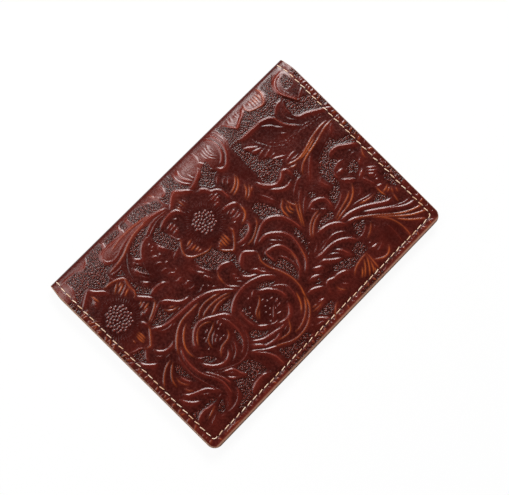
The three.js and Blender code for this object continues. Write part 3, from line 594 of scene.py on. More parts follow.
        "vein": """
        -46,38.3 -44.4,38.2 / -46,37.2 -44.2,37.2 / -46.2,35.2 -44.5,34.6 / -46.5,33.5 -45,33 / -41.5,4.5
        -39.7,4.7 -38,5.5 / -36,-14 -36.5,-17.5 -36,-20.5 -35,-23.5 -34.3,-25.5 / -39.5,-35 -38.9,-38.5
        -39.2,-41.5 / -33.8,-42 -33.2,-44.5 -33.5,-47 -34.2,-48.5 / -35,-49.3 -33,-49.8 -31.5,-48.5 /
        -45.8,-58 -46,-62 -46.2,-66 / -39,-64.8 -37.5,-65.8 -36,-66.3
        """,
    },
    "border": {
        "ridge": """
        -41,70 -40.5,68 / -36,69.5 -36.5,68 / -16.5,70 -17.5,68 / -14,70 -14.2,67 / 8,67.5 9.5,69.5 / 25,70
        26,68 / 45.5,65 47,67 / 45.8,56 46.2,52 45.7,49 / 46.5,47 46,44 / 45.5,38 46.5,36 46.2,33 / 46.3,28
        46,25.5 46.6,23 / 45.5,20 46.5,18 / 46.8,10 45.7,8 / 45.5,2.5 47,3.8 / 46,-3 46.8,-1.5 / 45.6,-20
        46.8,-18 / 46,-25 46.5,-28 / 45.3,-36.5 47.3,-36 / 45.3,-37.4 47.3,-37 / 45.3,-38.3 47.3,-38 /
        45.5,-50 47.5,-48.3 / -3,-70 -1.8,-67.8 / 0.5,-70 3,-67.5 / 3.5,-70 4,-68 / 9,-70 9.3,-68 / 16,-70
        16.5,-68 / 22,-68 23,-70 / 27,-70 27.3,-68 / 31,-68 31.5,-70 / 36.5,-68 36,-70 / 41,-68 40,-69.5
        """,
        "warm ridge": """
        -10.5,70 -10.4,67.5 / -1,70 -0.5,67.5 / 5,68 6.5,70 / 45.3,60.5 47.3,62.5 / 46.8,-53 46,-58 46.5,-62
        """,
    },
}

# Flower hearts: centre, outer radius and bead radius
HEARTS = (((-21.8, -5.0), 5.2, 0.62), ((-18.4, -59.3), 5.8, 0.62))
BEAD_SPREAD, BEAD_SIZES = 1.28, (0.85, 1.15)
GOLDEN_ANGLE = math.radians(137.508)
RAY_COUNT = 48
RAY_START, RAY_END, RAY_JITTER = 1.0, 3.6, 0.6
# Seeds inside the scrolls and at the top edge
SEEDS = """
    21.3,-12.2 23.4,-11.5 25,-9.8 23,-7.5 25.3,-13.3 23.3,-13.8 27.2,-15 28.5,-15.5 20.3,-10 17.3,-17.2 14,-15
    16,-20.3 18,-20.3 23.2,-19.7 20.5,-19.3 18.8,-19 11.5,-31 14,-33 15.5,-35.5 16.8,-37.5 11,-37 14.5,-36
    17,-42 12.5,-40 22,-43 17.5,-33.5 20,-29 23,-29.8 36,-44 37.2,-44.3 -36.5,57 1.3,36 13.5,68.2 15,69.2
    16.3,67.9 17.8,69 19.3,68 20.8,69.1 22.3,68.1
"""
SEED_RADIUS, SEED_HEIGHT = 0.38, 0.19
# The double row of marks along the serrated leaf's midrib
MIDRIB = "-19.2,64 -20.3,58 -21.3,52 -21,47 -22,43.5 -24.5,39.5 -27.5,37"
MIDRIB_OFFSET, MIDRIB_DASH, MIDRIB_PITCH, MIDRIB_JITTER = 0.7, 1.1, 1.7, 0.3
MIDRIB_START, MIDRIB_SPREAD = 0.5, (0.6, 1.3)

# Places where the ridges are burnished most and where painted shade darkens the leather: centre and radius
BURNISHED_PATCHES = (
    (41, 30, 6), (2, 22, 7), (-10, -4, 4), (-18, -16, 4), (-26, -50, 4), (-14, -47, 4), (-31, -61, 3),
    (-6, -58, 4), (-14, 48, 7), (18, 48, 7), (36, 62, 8), (28, -62, 6), (-45, 50, 5), (-45, 38, 5),
    (30, 1, 6), (8, -46, 6), (-22, 16, 6), (-13, 9, 4), (20, 61, 6), (42, 41, 4),
)
PAINTED_SHADE_PATCHES = (
    (-31, 44, 6), (-26, 53, 5), (-9, 52, 4.5), (-22, -5, 11), (-18, -59, 12), (21, -13, 8), (15, -36, 7),
    (-22, -36, 6), (-27, 23, 6), (12, -60, 6), (38, 50, 6), (-5, -25, 5),
)
PATCH_FADE = (0.5, 1.2)
# Fields of pebbled ground between the motifs, apart by a slash
GROUNDS = """
    -30.6,62 -33,60.4 -36,58.8 -39,57 -42,57.3 -44.4,59.8 -47,62 -47,54 -43,53 -41,51.5 -40,49 -41,46 -42.3,43
    -44,42 -43,40 -42,37 -40.5,34 -43,32 -46,30.2 -47,27 -40,26.8 -37,25.6 -36.5,30 -36.2,36 -36.2,44 -34.5,47
    -33.5,49.5 -35.5,52 -36.3,56 -34.8,57 -33,55.6 -30,55 -27.5,56 -25.6,58.4 -24.4,61 -22,64.8 -21,67 -29,67
    -31,64 / -36,31 -32.5,29.3 -30,30.5 -27.5,31 -26.5,33.5 -25.5,31.5 -24,31.5 -22.5,34.5 -20.5,35.5 -19,37.5
    -17,38 -15.5,36 -14.3,33 -13,31 -13,28.5 -14.5,26 -17,24.8 -22,25 -28,25.2 -33,25.5 -36.5,26 / -10,60
    -9,56 -8,53 -6.5,49.5 -4.5,47 -2.5,45.3 0,44.6 3,44.9 5.5,45.6 6,43 7,41 9,40 11.5,40 12,42 10.5,44.5 9,47
    7,48.5 5,49 3,49 1.5,50.5 0.5,53 -0.3,55.5 -3,54 -5,54.3 -5.4,57 -4.8,59.8 -3,62.5 -1,65 0,66.7 -5,66.5
    -6,64 -7.5,61 / 12,37 14,37.5 15.5,36 15.5,33.5 15,30.5 14.7,27.5 13.8,27 12.3,29.5 11.6,32 11.5,34.5 /
    23.5,38.8 28.5,37.5 28.8,39.5 28,42 26.5,44 25,44.8 23.8,43 22.5,41 / 30,36.5 34.5,37.5 35.5,36 35.5,33
    36,30 36.5,27 35.5,24.5 33.5,22.5 32.8,19.5 30.5,19 29.5,21 30.5,25 31.5,28 33,30.5 30.5,31 29.7,33.5 /
    21,58.3 24,58.8 26.3,59.8 26.5,57.5 25,55.2 23.3,53 22,53.5 21.3,56 / 0,35.5 1,37.3 3,38 3.8,36 2.5,34.5 /
    -13,16 -10,19 -7,20.5 -4,22 -1.5,22 -0.5,20.8 -2.5,18.8 -4.2,16 -4.8,13.5 -6.5,12.5 -9,13 -12,13 / -40,14
    -36,14 -33.5,14.5 -32.5,12 -31,10.5 -29.6,9.6 -30.4,7 -32.5,5.8 -34,4.6 -36,5 -37.5,8 -39.5,10.5 /
    -9.5,6.8 -8,7.3 -6.8,6 -6,4 -5.8,1.5 -7,1 -8.5,1.8 -9.8,3.5 / -48,-1 -43,-1 -40.5,-0.3 -38,1.5 -36.5,0.5
    -38.5,-2.3 -40.3,-4.5 -40.5,-5.8 -39,-8.2 -37.5,-10 -39,-11.5 -41.5,-12 -43,-11.5 -42,-9 -43.5,-7.3
    -48,-6.4 / -43,-13 -39.5,-12.5 -39,-15 -40.3,-19 -41.5,-23 -42.5,-27 -47,-27 -47,-22 -45,-17 / -34.5,-20
    -31,-19.8 -27,-19 -24.5,-18 -22.5,-19 -21.8,-21 -21.5,-23 -24.5,-24 -28,-25.3 -31,-26 -33.8,-25
    -34.8,-22.5 / -5.5,-5.5 -3,-5.5 -1.5,-6 0.5,-7 4,-7.5 7,-6 7,-8 4,-9.5 1,-9.5 -2.3,-8.8 -3.7,-10.3
    -4.8,-13 -4.5,-15.5 -5.5,-17.5 -8.5,-19 -12,-20 -14.5,-19.5 -14,-16 -12.8,-13 -12.5,-10 -9.5,-9 -7,-7 /
    5,3.8 8,3.8 11,4.8 10.5,6.5 12,8 15,8.8 18.5,8.8 21,7.8 23,6 21.5,5 17.5,4.3 13.5,3.2 9.5,1.5 6,1 /
    16.8,-1.5 15,-2.5 13.3,-5 12.3,-8 12.5,-10 14,-10 15,-8 16.3,-6 17,-4.5 / 39,9.5 41,10.5 42,9 43.5,7
    44.5,5.5 42.5,3.5 40.5,1.5 39.3,-0.3 38.8,3 38.5,6 / 40.5,-8 44,-7 44,-20 41,-22 37.5,-21 39.5,-17
    40.5,-13 / 28.5,-18.5 30,-17.5 30,-20 29,-23 27,-25.5 25,-26.3 23.5,-25 24.5,-22.5 27,-20.5 / 8.5,-19.5
    10.5,-22 13,-24.5 10.5,-26 8.5,-28.5 7.8,-26.5 7.3,-23.5 8,-21 / 3,-34 4.5,-35.8 5.3,-36.5 5.5,-39 6.5,-41
    5,-41 3.5,-38.5 2.8,-36 / 31,-33.5 33.5,-31.5 36.5,-30.3 40,-30.2 40.8,-31.5 40,-34 40,-37 40.8,-39.5
    42.5,-41.5 44,-42 44.2,-50 42,-50 41,-47 39,-45.5 36,-44.8 33.5,-44.5 31,-45.3 33.5,-42.5 35.5,-38.5
    33,-39 30.5,-39.7 30.3,-36 / 11,-56.5 13,-55 17,-55 21,-55 24,-54.3 21.5,-55.8 18.5,-57.2 16,-58.3
    13.5,-58.8 / 33.5,-54 34.5,-55.5 33.5,-58.5 32.8,-61.5 33.2,-64 34.5,-66.3 30,-66.3 31,-63 31.5,-59
    31.5,-55.5 / 34.5,-52.5 37,-53 39.5,-55 40,-57 38,-58 36,-56.5 / -48,-43.5 -44,-43.5 -43.5,-46 -41,-47.3
    -38,-46.5 -36.5,-44 -35.8,-47 -35.3,-49.5 -33,-50.3 -32.3,-52 -32.3,-54.5 -33.5,-57 -36.3,-59.7 -36,-62
    -34.5,-65 -34,-67 -38,-66 -40,-64.5 -43.5,-64.5 -45.3,-65 -45.5,-59 -43.8,-56 -45,-53 -48,-50.4 /
    -38.5,-24 -37,-23 -35.5,-26 -35,-28 -34,-31 -32,-33.8 -29.5,-35.3 -31,-36 -33,-37 -35,-37 -36.5,-35
    -38,-31 -38.8,-27 / -33,-44 -29,-44.5 -25,-44.3 -21,-42.5 -19,-41 -17.3,-41 -16.8,-43 -18.5,-45 -20.8,-47
    -23,-46 -27,-45.5 -29.5,-45.2 -31,-47 -32.5,-48 / -11,-42.5 -8,-43.5 -5.5,-43 -4.5,-41 -3.8,-44 -4,-48
    -6,-51 -7.5,-51.5 -8.8,-49 -10,-46 / -2.8,-60.5 -1,-62 1,-63.3 3,-63.5 1.5,-65 -0.5,-66.3 -5,-66.3
    -4.3,-64 / -47,-29 -43.4,-29 -43.4,-31.6 -45,-32.4 -47,-31.6 / -46.4,-34.4 -43.8,-33.6 -43.8,-40.6
    -46.4,-41 / 15,-18.4 18,-18.2 22,-19 25,-18.4 24,-20 21,-20.8 17,-20.6 14.6,-19.8 / -43,65.6 -42.6,62.4
    -40.6,60.8 -38,60.6 -37,63 -37.6,66 / 6,21.2 9,21.6 14,20.6 18,18 20,15.6 16,17.4 12,18.4 8,18.6 /
    -10.5,39.4 -7,39 -6.6,36.9 -10,36.8 / 3.6,60 7,60.6 9,57.6 7,54.4 4.4,55.4 / 16.5,66.5 17,64.8 18.5,63.8
    21,63.4 23.5,63.9 25,65.2 25.4,66.6 / 28.4,13 31,12.5 31.2,10.4 29.4,9.6 / 18,-28.4 21,-27.7 24,-29 26,-31
    23.4,-31.2 20.4,-30 / 18,-44 21.4,-42 22.4,-44 20,-47 17,-47.4 / -30.4,-38 -24.6,-36.5 -21.6,-38 -27.4,-40
"""
# Pebbled stretches of the border outside the seam: lowest and highest corner
BORDER_GROUNDS = (
    (-43.0, 67.7, -37.0, 70.5), (-27.0, 67.7, -21.0, 70.5), (-10.0, 67.7, -2.0, 70.5),
    (16.0, 67.7, 26.0, 70.5),
    (-38.0, -70.5, -31.0, -67.7), (-9.0, -70.5, -3.0, -67.7),
    (45.6, 20.0, 48.5, 35.0), (45.6, -25.0, 48.5, -3.0),
)


def points(text):
    """The points of one stroke as an array."""
    return np.array([[float(value) for value in pair.split(",")] for pair in text.split()])


def strokes(text):
    """The strokes or fields in a text, each as an array of points."""
    return [points(part) for part in text.split("/")]


def smooth_path(knots, closed=False):
    """A Catmull-Rom curve through the knots, as closely spaced points."""
    if closed:
        ring = np.vstack([knots[-1], knots, knots[0], knots[1]])
    else:
        ring = np.vstack([2 * knots[0] - knots[1], knots, 2 * knots[-1] - knots[-2]])
    runs = []
    for a, b, c, d in zip(ring, ring[1:], ring[2:], ring[3:]):
        count = max(2, int(np.linalg.norm(c - b) / PATH_STEP) + 1)
        t = np.linspace(0, 1, count, endpoint=False)[:, None]
        square, cube = 2 * a - 5 * b + 4 * c - d, 3 * b - a - 3 * c + d
        runs.append(0.5 * (2 * b + (c - a) * t + square * t**2 + cube * t**3))
    runs.append(knots[:1] if closed else knots[-1:])
    return np.vstack(runs)


def path_lengths(path):
    """Distance along the path at each of its points."""
    return np.concatenate([[0.0], np.cumsum(np.linalg.norm(np.diff(path, axis=0), axis=1))])


def along_path(path, marks):
    """Points at these distances along the path."""
    lengths = path_lengths(path)
    return np.stack([np.interp(marks, lengths, path[:, 0]), np.interp(marks, lengths, path[:, 1])], axis=-1)


def smoothstep(low, high, value):
    """Rises smoothly from 0 at the low value to 1 at the high one."""
    t = np.clip((value - low) / (high - low), 0, 1)
    return t * t * (3 - 2 * t)


def bell(distance, width):
    """1 at no distance, and nearly 0 past twice the width."""
    return np.exp(-((distance / width) ** 2))


def raise_to(layer, value):
    """Lifts a layer to a value wherever it is lower."""
    np.maximum(layer, value, out=layer)


class Relief:
    """The tooling as a height map over the flat sheet, built up stroke by stroke."""

    def __init__(self, left, right):
        self.x = np.arange(left - MARGIN, right + MARGIN, CELL)
        self.y = np.arange(-HALF_HEIGHT - MARGIN, HALF_HEIGHT + MARGIN, CELL)
        layers = np.zeros((6, len(self.y), len(self.x)))
        self.ridges, self.swell, self.cuts, self.feet, self.warm, self.ground = layers

    def window(self, low, high):
        """The cells inside a box, with their columns' x and their rows' y."""
        columns = slice(*np.searchsorted(self.x, (low[0], high[0])))
        rows = slice(*np.searchsorted(self.y, (low[1], high[1])))
        return (rows, columns), self.x[None, columns], self.y[rows, None]

    def distances(self, path, reach):
        """For the cells near a path: their distance to it, how far along it they lie, and on which side."""
        where, x, y = self.window(path.min(axis=0) - reach, path.max(axis=0) + reach)
        gap = np.full((y.size, x.size), reach)
        along = np.zeros(gap.shape)
        lean = np.zeros(gap.shape)
        marks = path_lengths(path)
        for a, b, start, end in zip(path, path[1:], marks, marks[1:]):
            low = np.minimum(a, b) - reach
            high = np.maximum(a, b) + reach
            columns = slice(*np.searchsorted(x[0], (low[0], high[0])))
            rows = slice(*np.searchsorted(y[:, 0], (low[1], high[1])))
            across, up = x[:, columns] - a[0], y[rows] - a[1]
            run_x, run_y = b - a
            share = np.clip((across * run_x + up * run_y) / max(run_x**2 + run_y**2, TINY), 0, 1)
            across, up = across - share * run_x, up - share * run_y
            here = np.hypot(across, up)
            closer = here < gap[rows, columns]
            gap[rows, columns][closer] = here[closer]
            along[rows, columns][closer] = (start + share * (end - start))[closer]
            lean[rows, columns][closer] = ((across * FAR_SIDE[0] + up * FAR_SIDE[1]) / (here + CELL))[closer]
        return where, gap, along, lean

    def stroke(self, kind, path):
        """A raised or cut line that thins out at both ends."""
        near_width, far_width, height, warm = KINDS[kind]
        where, gap, along, lean = self.distances(path, STROKE_REACH)
        width = near_width + (far_width - near_width) * smoothstep(*LEAN_SPAN, lean)
        length = path_lengths(path)[-1]
        to_end = np.minimum(along, length - along)
        taper = TIP_SHARE + (1 - TIP_SHARE) * smoothstep(0, min(TIP_LENGTH, TIP_LIMIT * length), to_end)
        if height < 0:
            raise_to(self.cuts[where], -height * taper * bell(gap, width))
            return
        raise_to(self.ridges[where], height * taper * bell(gap, width))
        raise_to(self.swell[where], SWELL_SHARE * height * taper * bell(gap, SWELL_WIDTH))
        foot = FOOT_SHARE * height * taper * bell(gap - FOOT_PLACE, FOOT_WIDTH)
        raise_to(self.feet[where], foot * smoothstep(*FOOT_LEAN, lean))
        raise_to(self.warm[where], warm * taper * bell(gap, WARM_WIDTH))

    def field(self, path):
        """A recessed field of pebbled ground inside a closed path."""
        where, gap, _, _ = self.distances(path, FIELD_REACH)
        x, y = self.x[where[1]], self.y[where[0]]
        inside = np.zeros(gap.shape, bool)
        for (ax, ay), (bx, by) in zip(path, path[1:]):
            crossed = np.nonzero((ay > y) != (by > y))[0]
            border = ax + (bx - ax) * (y[crossed] - ay) / (by - ay + TINY)
            inside[crossed] ^= x[None, :] < border[:, None]
        raise_to(self.ground[where], smoothstep(*GROUND_EDGE, np.where(inside, gap, -gap)))

    def bead(self, x, y, radius, height):
        """A round seed."""
        centre = np.array([x, y])
        where, columns_x, rows_y = self.window(centre - radius, centre + radius)
        gap = np.hypot(columns_x - x, rows_y - y) / radius
        raise_to(self.ridges[where], height * np.sqrt(np.clip(1 - gap**2, 0, 1)))

    def pebbles(self, rng):
        """Small rounded grains, one in each cell of a jittered grid."""
        column = np.floor(self.x / PEBBLE_PITCH).astype(int)[None, :]
        row = np.floor(self.y / PEBBLE_PITCH).astype(int)[:, None]
        first_column, first_row = column.min() - 1, row.min() - 1
        count = (row.max() - first_row + 2, column.max() - first_column + 2)
        shift = rng.uniform(-PEBBLE_SHIFT, PEBBLE_SHIFT, (2, *count))
        size = rng.uniform(*PEBBLE_SIZES, count)
        height = np.zeros((len(self.y), len(self.x)))
        for step_x in (-1, 0, 1):
            for step_y in (-1, 0, 1):
                near = (row - first_row + step_y, column - first_column + step_x)
                near_x = (column + step_x + 0.5 + shift[0][near]) * PEBBLE_PITCH
                near_y = (row + step_y + 0.5 + shift[1][near]) * PEBBLE_PITCH
                gap = np.hypot(self.x[None, :] - near_x, self.y[:, None] - near_y)
                gap /= PEBBLE_RADIUS * PEBBLE_PITCH
                raise_to(height, size[near] * np.clip(1 - gap**2, 0, 1))
        return height

    def blur(self, layer, width):
        """The layer softened by a bell curve of that width."""
        rows = np.fft.fftfreq(layer.shape[0], CELL)
        columns = np.fft.rfftfreq(layer.shape[1], CELL)
        softened = np.exp(-2 * (math.pi * width) ** 2 * (rows[:, None] ** 2 + columns[None, :] ** 2))
        return np.fft.irfft2(np.fft.rfft2(layer) * softened, layer.shape)

    def compose(self, seam, holes, rng):
        """The height over the plain leather, and the marks that colour follows."""
        pulled = np.zeros(self.ridges.shape)
        where, gap, _, _ = self.distances(seam, 2 * SEAM_PULL_WIDTH)
        raise_to(pulled[where], bell(gap, SEAM_PULL_WIDTH))
        grains = self.pebbles(rng)
        waves = self.blur(rng.standard_normal(grains.shape), WAVE_WIDTH)
        waves *= WAVE_HEIGHT / waves.std()
        creases = self.blur(rng.standard_normal(grains.shape), CREASE_WIDTH)
        waves += creases * CREASE_HEIGHT / creases.std()
        open_ground = self.ground * (1 - np.clip(self.ridges / CLEARING_RIDGE, 0, 1))
        height = self.ridges + self.swell + waves - self.feet - self.cuts * (1 - self.ground)
        sunk = GROUND_UNDER_RIDGE * self.ground + (1 - GROUND_UNDER_RIDGE) * open_ground
        height += open_ground * PEBBLE_HEIGHT * grains - sunk * GROUND_DEPTH
        height = height * (1 - SEAM_FLATTENS * pulled) - SEAM_PULL * pulled
        for hole in holes:
            where, columns_x, rows_y = self.window(hole - HOLE_REACH, hole + HOLE_REACH)
            gap = np.hypot(columns_x - hole[0], rows_y - hole[1])
            height[where] -= HOLE_DEPTH * bell(gap, HOLE_WIDTH)
        self.height = np.minimum(self.blur(height, SMOOTHING), PLATEAU_DEPTH)
        self.hollow = np.clip((self.blur(height, HOLLOW_WIDTH) - self.height) / HOLLOW_DEPTH, -1, 1)
        raised = self.ridges + self.swell
        dish = self.blur(raised, DISH_WIDTH) - self.blur(raised, HOLLOW_WIDTH)
        self.dish = np.clip(dish / DISH_DEPTH, -1, 1)
        self.grain = open_ground * grains

    def sample(self, layer, x, y):
        """The layer's value at points of the sheet."""
        column = np.clip((x - self.x[0]) / CELL, 0, len(self.x) - 1.001)
        row = np.clip((y - self.y[0]) / CELL, 0, len(self.y) - 1.001)
        c, r = column.astype(int), row.astype(int)
        fx, fy = column - c, row - r
        low = layer[r, c] * (1 - fx) + layer[r, c + 1] * fx
        high = layer[r + 1, c] * (1 - fx) + layer[r + 1, c + 1] * fx
        return low * (1 - fy) + high * fy


class Profile:
    """The cover's section: from the middle of the spine round its nose, shoulder and along the leaf."""

    def __init__(self):
        share = np.linspace(0, 1, PROFILE_STEPS)
        shoulder = SHOULDER_ANGLE * (1 - share) ** SHOULDER_FADE
        rise = SHOULDER_LENGTH * np.sin(0.5 * (shoulder[1:] + shoulder[:-1])).mean()
        nose_radius = (0.5 * CLOSED - rise) / math.cos(SHOULDER_ANGLE)
        nose = np.linspace(0.5 * math.pi, SHOULDER_ANGLE, PROFILE_STEPS)
        nose_length = nose_radius * (0.5 * math.pi - SHOULDER_ANGLE)
        flat_start = nose_length + SHOULDER_LENGTH
        self.angle = np.concatenate([nose, shoulder[1:], [0.0]])
        self.along = np.concatenate(
            [nose_length * share, nose_length + SHOULDER_LENGTH * share[1:], [flat_start + 2 * HALF_HEIGHT]]
        )
        middle = 0.5 * (self.angle[1:] + self.angle[:-1])
        step = np.diff(self.along)
        self.x = SPINE_X + np.concatenate([[0.0], np.cumsum(np.cos(middle) * step)])
        self.z = 0.5 * CLOSED + np.concatenate([[0.0], np.cumsum(np.sin(middle) * step)])
        self.left = self.x[-1] - self.along[-1]

    def lay(self, sheet_x, y, depth, side):
        """Points of the sheet, at a depth under its outer face, on the front or the back of the cover."""
        along = sheet_x - self.left
        angle = np.interp(along, self.along, self.angle)
        x = np.interp(along, self.along, self.x) + depth * np.sin(angle)
        z = np.interp(along, self.along, self.z) - depth * np.cos(angle)
        y = y * (1 - SPINE_DRAW * (1 - smoothstep(0, SPINE_DRAW_REACH, along)))
        if side == "back":
            z = CLOSED - z
        return np.stack(np.broadcast_arrays(x, y, z), axis=-1)


PROFILE = Profile()


def tooled_share(sheet_x):
    """0 on the plain spine and 1 where the tooling is at its full height."""
    return smoothstep(PLAIN_SPINE, TOOLED_SPINE, sheet_x - PROFILE.left)


def plateau_depth(sheet_x):
    """How deep the plain leather lies under the outer face, less so on the plain spine."""
    return SPINE_PLATEAU + (PLATEAU_DEPTH - SPINE_PLATEAU) * tooled_share(sheet_x)


def edge_of(side):
    """The fore edge of a leaf."""
    return FRONT_EDGE if side == "front" else BACK_EDGE


def inset_from_edge(x, y, edge):
    """Distance in from the three free edges of a leaf with rounded corners."""
    over_x = x - (edge - CORNER)
    over_y = np.abs(y) - (HALF_HEIGHT - CORNER)
    round_part = np.hypot(np.maximum(over_x, 0), np.maximum(over_y, 0))
    return CORNER - np.where((over_x > 0) & (over_y > 0), round_part, np.maximum(over_x, over_y))


def seam_path(edge):
    """The seam's line on the sheet, from the spine along the top, round the fore edge and back."""
    top, bottom = HALF_HEIGHT - SEAM_TOP, SEAM_BOTTOM - HALF_HEIGHT
    right = edge - SEAM_FORE
    start = PROFILE.left + SEAM_START
    turn = np.linspace(0, 0.5 * math.pi, SEAM_TURN_POINTS)
    arc = SEAM_RADIUS * np.stack([np.sin(turn) - 1, np.cos(turn) - 1], axis=1)
    lower_arc = arc[::-1] * (1, -1)
    return np.vstack([[(start, top)], arc + (right, top), lower_arc + (right, bottom), [(start, bottom)]])


def stitch_ends(path):
    """Where each stitch starts and ends along the seam."""
    length = path_lengths(path)[-1]
    count = round(length / STITCH_PITCH)
    starts = (np.arange(count) + 0.5 * (1 - STITCH_SHARE)) * length / count
    return np.stack([starts, starts + STITCH_SHARE * length / count], axis=1)


def draw_tooling():
    """The whole tooled sheet."""
    relief = Relief(PROFILE.left, BACK_EDGE)
    for motif in MOTIFS.values():
        for kind, text in motif.items():
            for knots in strokes(text):
                relief.stroke(kind, smooth_path(knots) + CREST_SHIFT)
    for knots in strokes(GROUNDS):
        relief.field(smooth_path(knots, closed=True))
    for left, low, right, high in BORDER_GROUNDS:
        relief.field(np.array([(left, low), (right, low), (right, high), (left, high), (left, low)]))
    rng = np.random.default_rng(TOOLING_SEED)
    for centre, radius, bead in HEARTS:
        draw_heart(relief, rng, np.array(centre), radius, bead)
    for x, y in points(SEEDS):
        relief.bead(x, y, SEED_RADIUS, SEED_HEIGHT)
    draw_midrib(relief, rng)
    draw_border(relief, rng)
    seam = seam_path(FRONT_EDGE)
    relief.compose(seam, along_path(seam, stitch_ends(seam).ravel()), rng)
    return relief


def draw_heart(relief, rng, centre, radius, bead):
    """A flower's heart: beads set in a spiral, and fine marks that ray out from them."""
    spread = BEAD_SPREAD * bead
    for number in range(int((radius / spread) ** 2)):
        reach, turn = spread * math.sqrt(number), GOLDEN_ANGLE * number
        x, y = centre + reach * np.array([math.cos(turn), math.sin(turn)])
        relief.bead(x, y, bead * rng.uniform(*BEAD_SIZES), SEED_HEIGHT)
    for turn in 2 * math.pi * np.arange(RAY_COUNT) / RAY_COUNT:
        ends = np.array([[radius + RAY_START], [radius + RAY_END + rng.uniform(-RAY_JITTER, RAY_JITTER)]])
        relief.stroke("ray", centre + ends * np.array([math.cos(turn), math.sin(turn)]))


def draw_border(relief, rng):
    """Short strokes across the strips between the seam and the free edges."""
    top, bottom, fore = HALF_HEIGHT - SEAM_TOP, SEAM_BOTTOM - HALF_HEIGHT, FRONT_EDGE - SEAM_FORE
    strips = (
        ((BORDER_START, top), (1, 0), (0, 1), BORDER_LENGTH),
        ((BORDER_START, bottom), (1, 0), (0, -1), BORDER_LENGTH),
        ((fore, bottom), (0, 1), (1, 0), top - bottom),
    )
    for *directions, length in strips:
        start, run, out = np.array(directions)
        mark = rng.uniform(*BORDER_FIRST)
        while mark < length:
            lean = rng.uniform(-BORDER_LEAN, BORDER_LEAN)
            first = start + mark * run + rng.uniform(*BORDER_FOOT) * out
            last = start + (mark + lean) * run + rng.uniform(*BORDER_HEAD) * out
            middle = 0.5 * (first + last) + rng.uniform(-BORDER_BEND, BORDER_BEND) * run
            kind = BORDER_KINDS[rng.integers(len(BORDER_KINDS))]
            relief.stroke(kind, smooth_path(np.array([first, middle, last])))
            mark += rng.uniform(*BORDER_STEP)


def draw_midrib(relief, rng):
    """Two rows of short marks beside a leaf's midrib."""
    path = smooth_path(points(MIDRIB))
    for offset in (-MIDRIB_OFFSET, MIDRIB_OFFSET):
        for mark in np.arange(MIDRIB_START, path_lengths(path)[-1] - MIDRIB_DASH, MIDRIB_PITCH):
            ends = along_path(path, np.array([mark, mark + MIDRIB_DASH]))
            run = (ends[1] - ends[0]) / np.linalg.norm(ends[1] - ends[0])
            spot = ends + rng.uniform(*MIDRIB_SPREAD) * offset * np.array([-run[1], run[0]])
            relief.stroke("ray", spot + rng.uniform(-MIDRIB_JITTER, MIDRIB_JITTER, (2, 2)))


def new_piece(name, vertices, faces, smooth, material_index, materials):
    """A mesh object from points in millimetres."""
    mesh = bpy.data.meshes.new(name)
    mesh.from_pydata((vertices * MM).tolist(), [], faces)
    mesh.polygons.foreach_set("use_smooth", smooth)
    mesh.polygons.foreach_set("material_index", material_index)
    for material in materials:
        mesh.materials.append(material)
    mesh.validate()
    mesh.update()
    piece = bpy.data.objects.new(name, mesh)
    bpy.context.scene.collection.objects.link(piece)
    return piece


def set_attribute(piece, name, values):
    """A number at each vertex, which the material reads."""
    attribute = piece.data.attributes.new(name, "FLOAT", "POINT")
    attribute.data.foreach_set("value", np.ascontiguousarray(values, np.float32).ravel())


def set_flat_place(piece, rim, x, y):
    """Each vertex's place on the flat sheet, which the material reads."""
    flat = np.stack([x, y, np.zeros(x.shape)], axis=-1)
    places = np.vstack([flat.reshape(-1, 3), flat[rim]])
    attribute = piece.data.attributes.new("sheet", "FLOAT_VECTOR", "POINT")
    attribute.data.foreach_set("vector", np.ascontiguousarray(places, np.float32).ravel())


def sheet_grid(left, edge, spacing, extra_columns=(), inset=0.0):
    """A leaf's outline filled with rows and columns, which draw in to follow its round corners."""
    half = HALF_HEIGHT - inset
    edge = edge - inset
    corner = max(CORNER - inset, LEAST_CORNER)
    turn_points = max(LEAST_TURN_POINTS, int(0.5 * math.pi * corner / spacing))
    turns = np.linspace(0, 0.5 * math.pi, turn_points + 1)
    upper = half - corner + corner * np.sin(turns)
    straight = np.linspace(-upper[0], upper[0], int(2 * upper[0] / spacing) + 1)
    rows = np.concatenate([-upper[::-1], straight[1:-1], upper])
    over = np.maximum(np.abs(rows) - (half - corner), 0)
    limit = edge - corner + np.sqrt(np.maximum(corner**2 - over**2, 0))
    shares = np.linspace(0, 1, int((edge - left) / spacing) + 1)
    near_edge = 1 - np.array(EDGE_COLUMNS) / (edge - left)
    shares = np.unique(np.concatenate([shares, near_edge, np.array(extra_columns) / (edge - left)]))
    x = left + (limit[:, None] - left) * shares[None, :]
    y = np.repeat(rows[:, None], len(shares), axis=1)
    return x, y


def grid_faces(index):
    """The quads between neighbours in a grid of vertex numbers."""
    quads = [index[:-1, :-1], index[:-1, 1:], index[1:, 1:], index[1:, :-1]]
    return np.stack([corner.ravel() for corner in quads], axis=1)


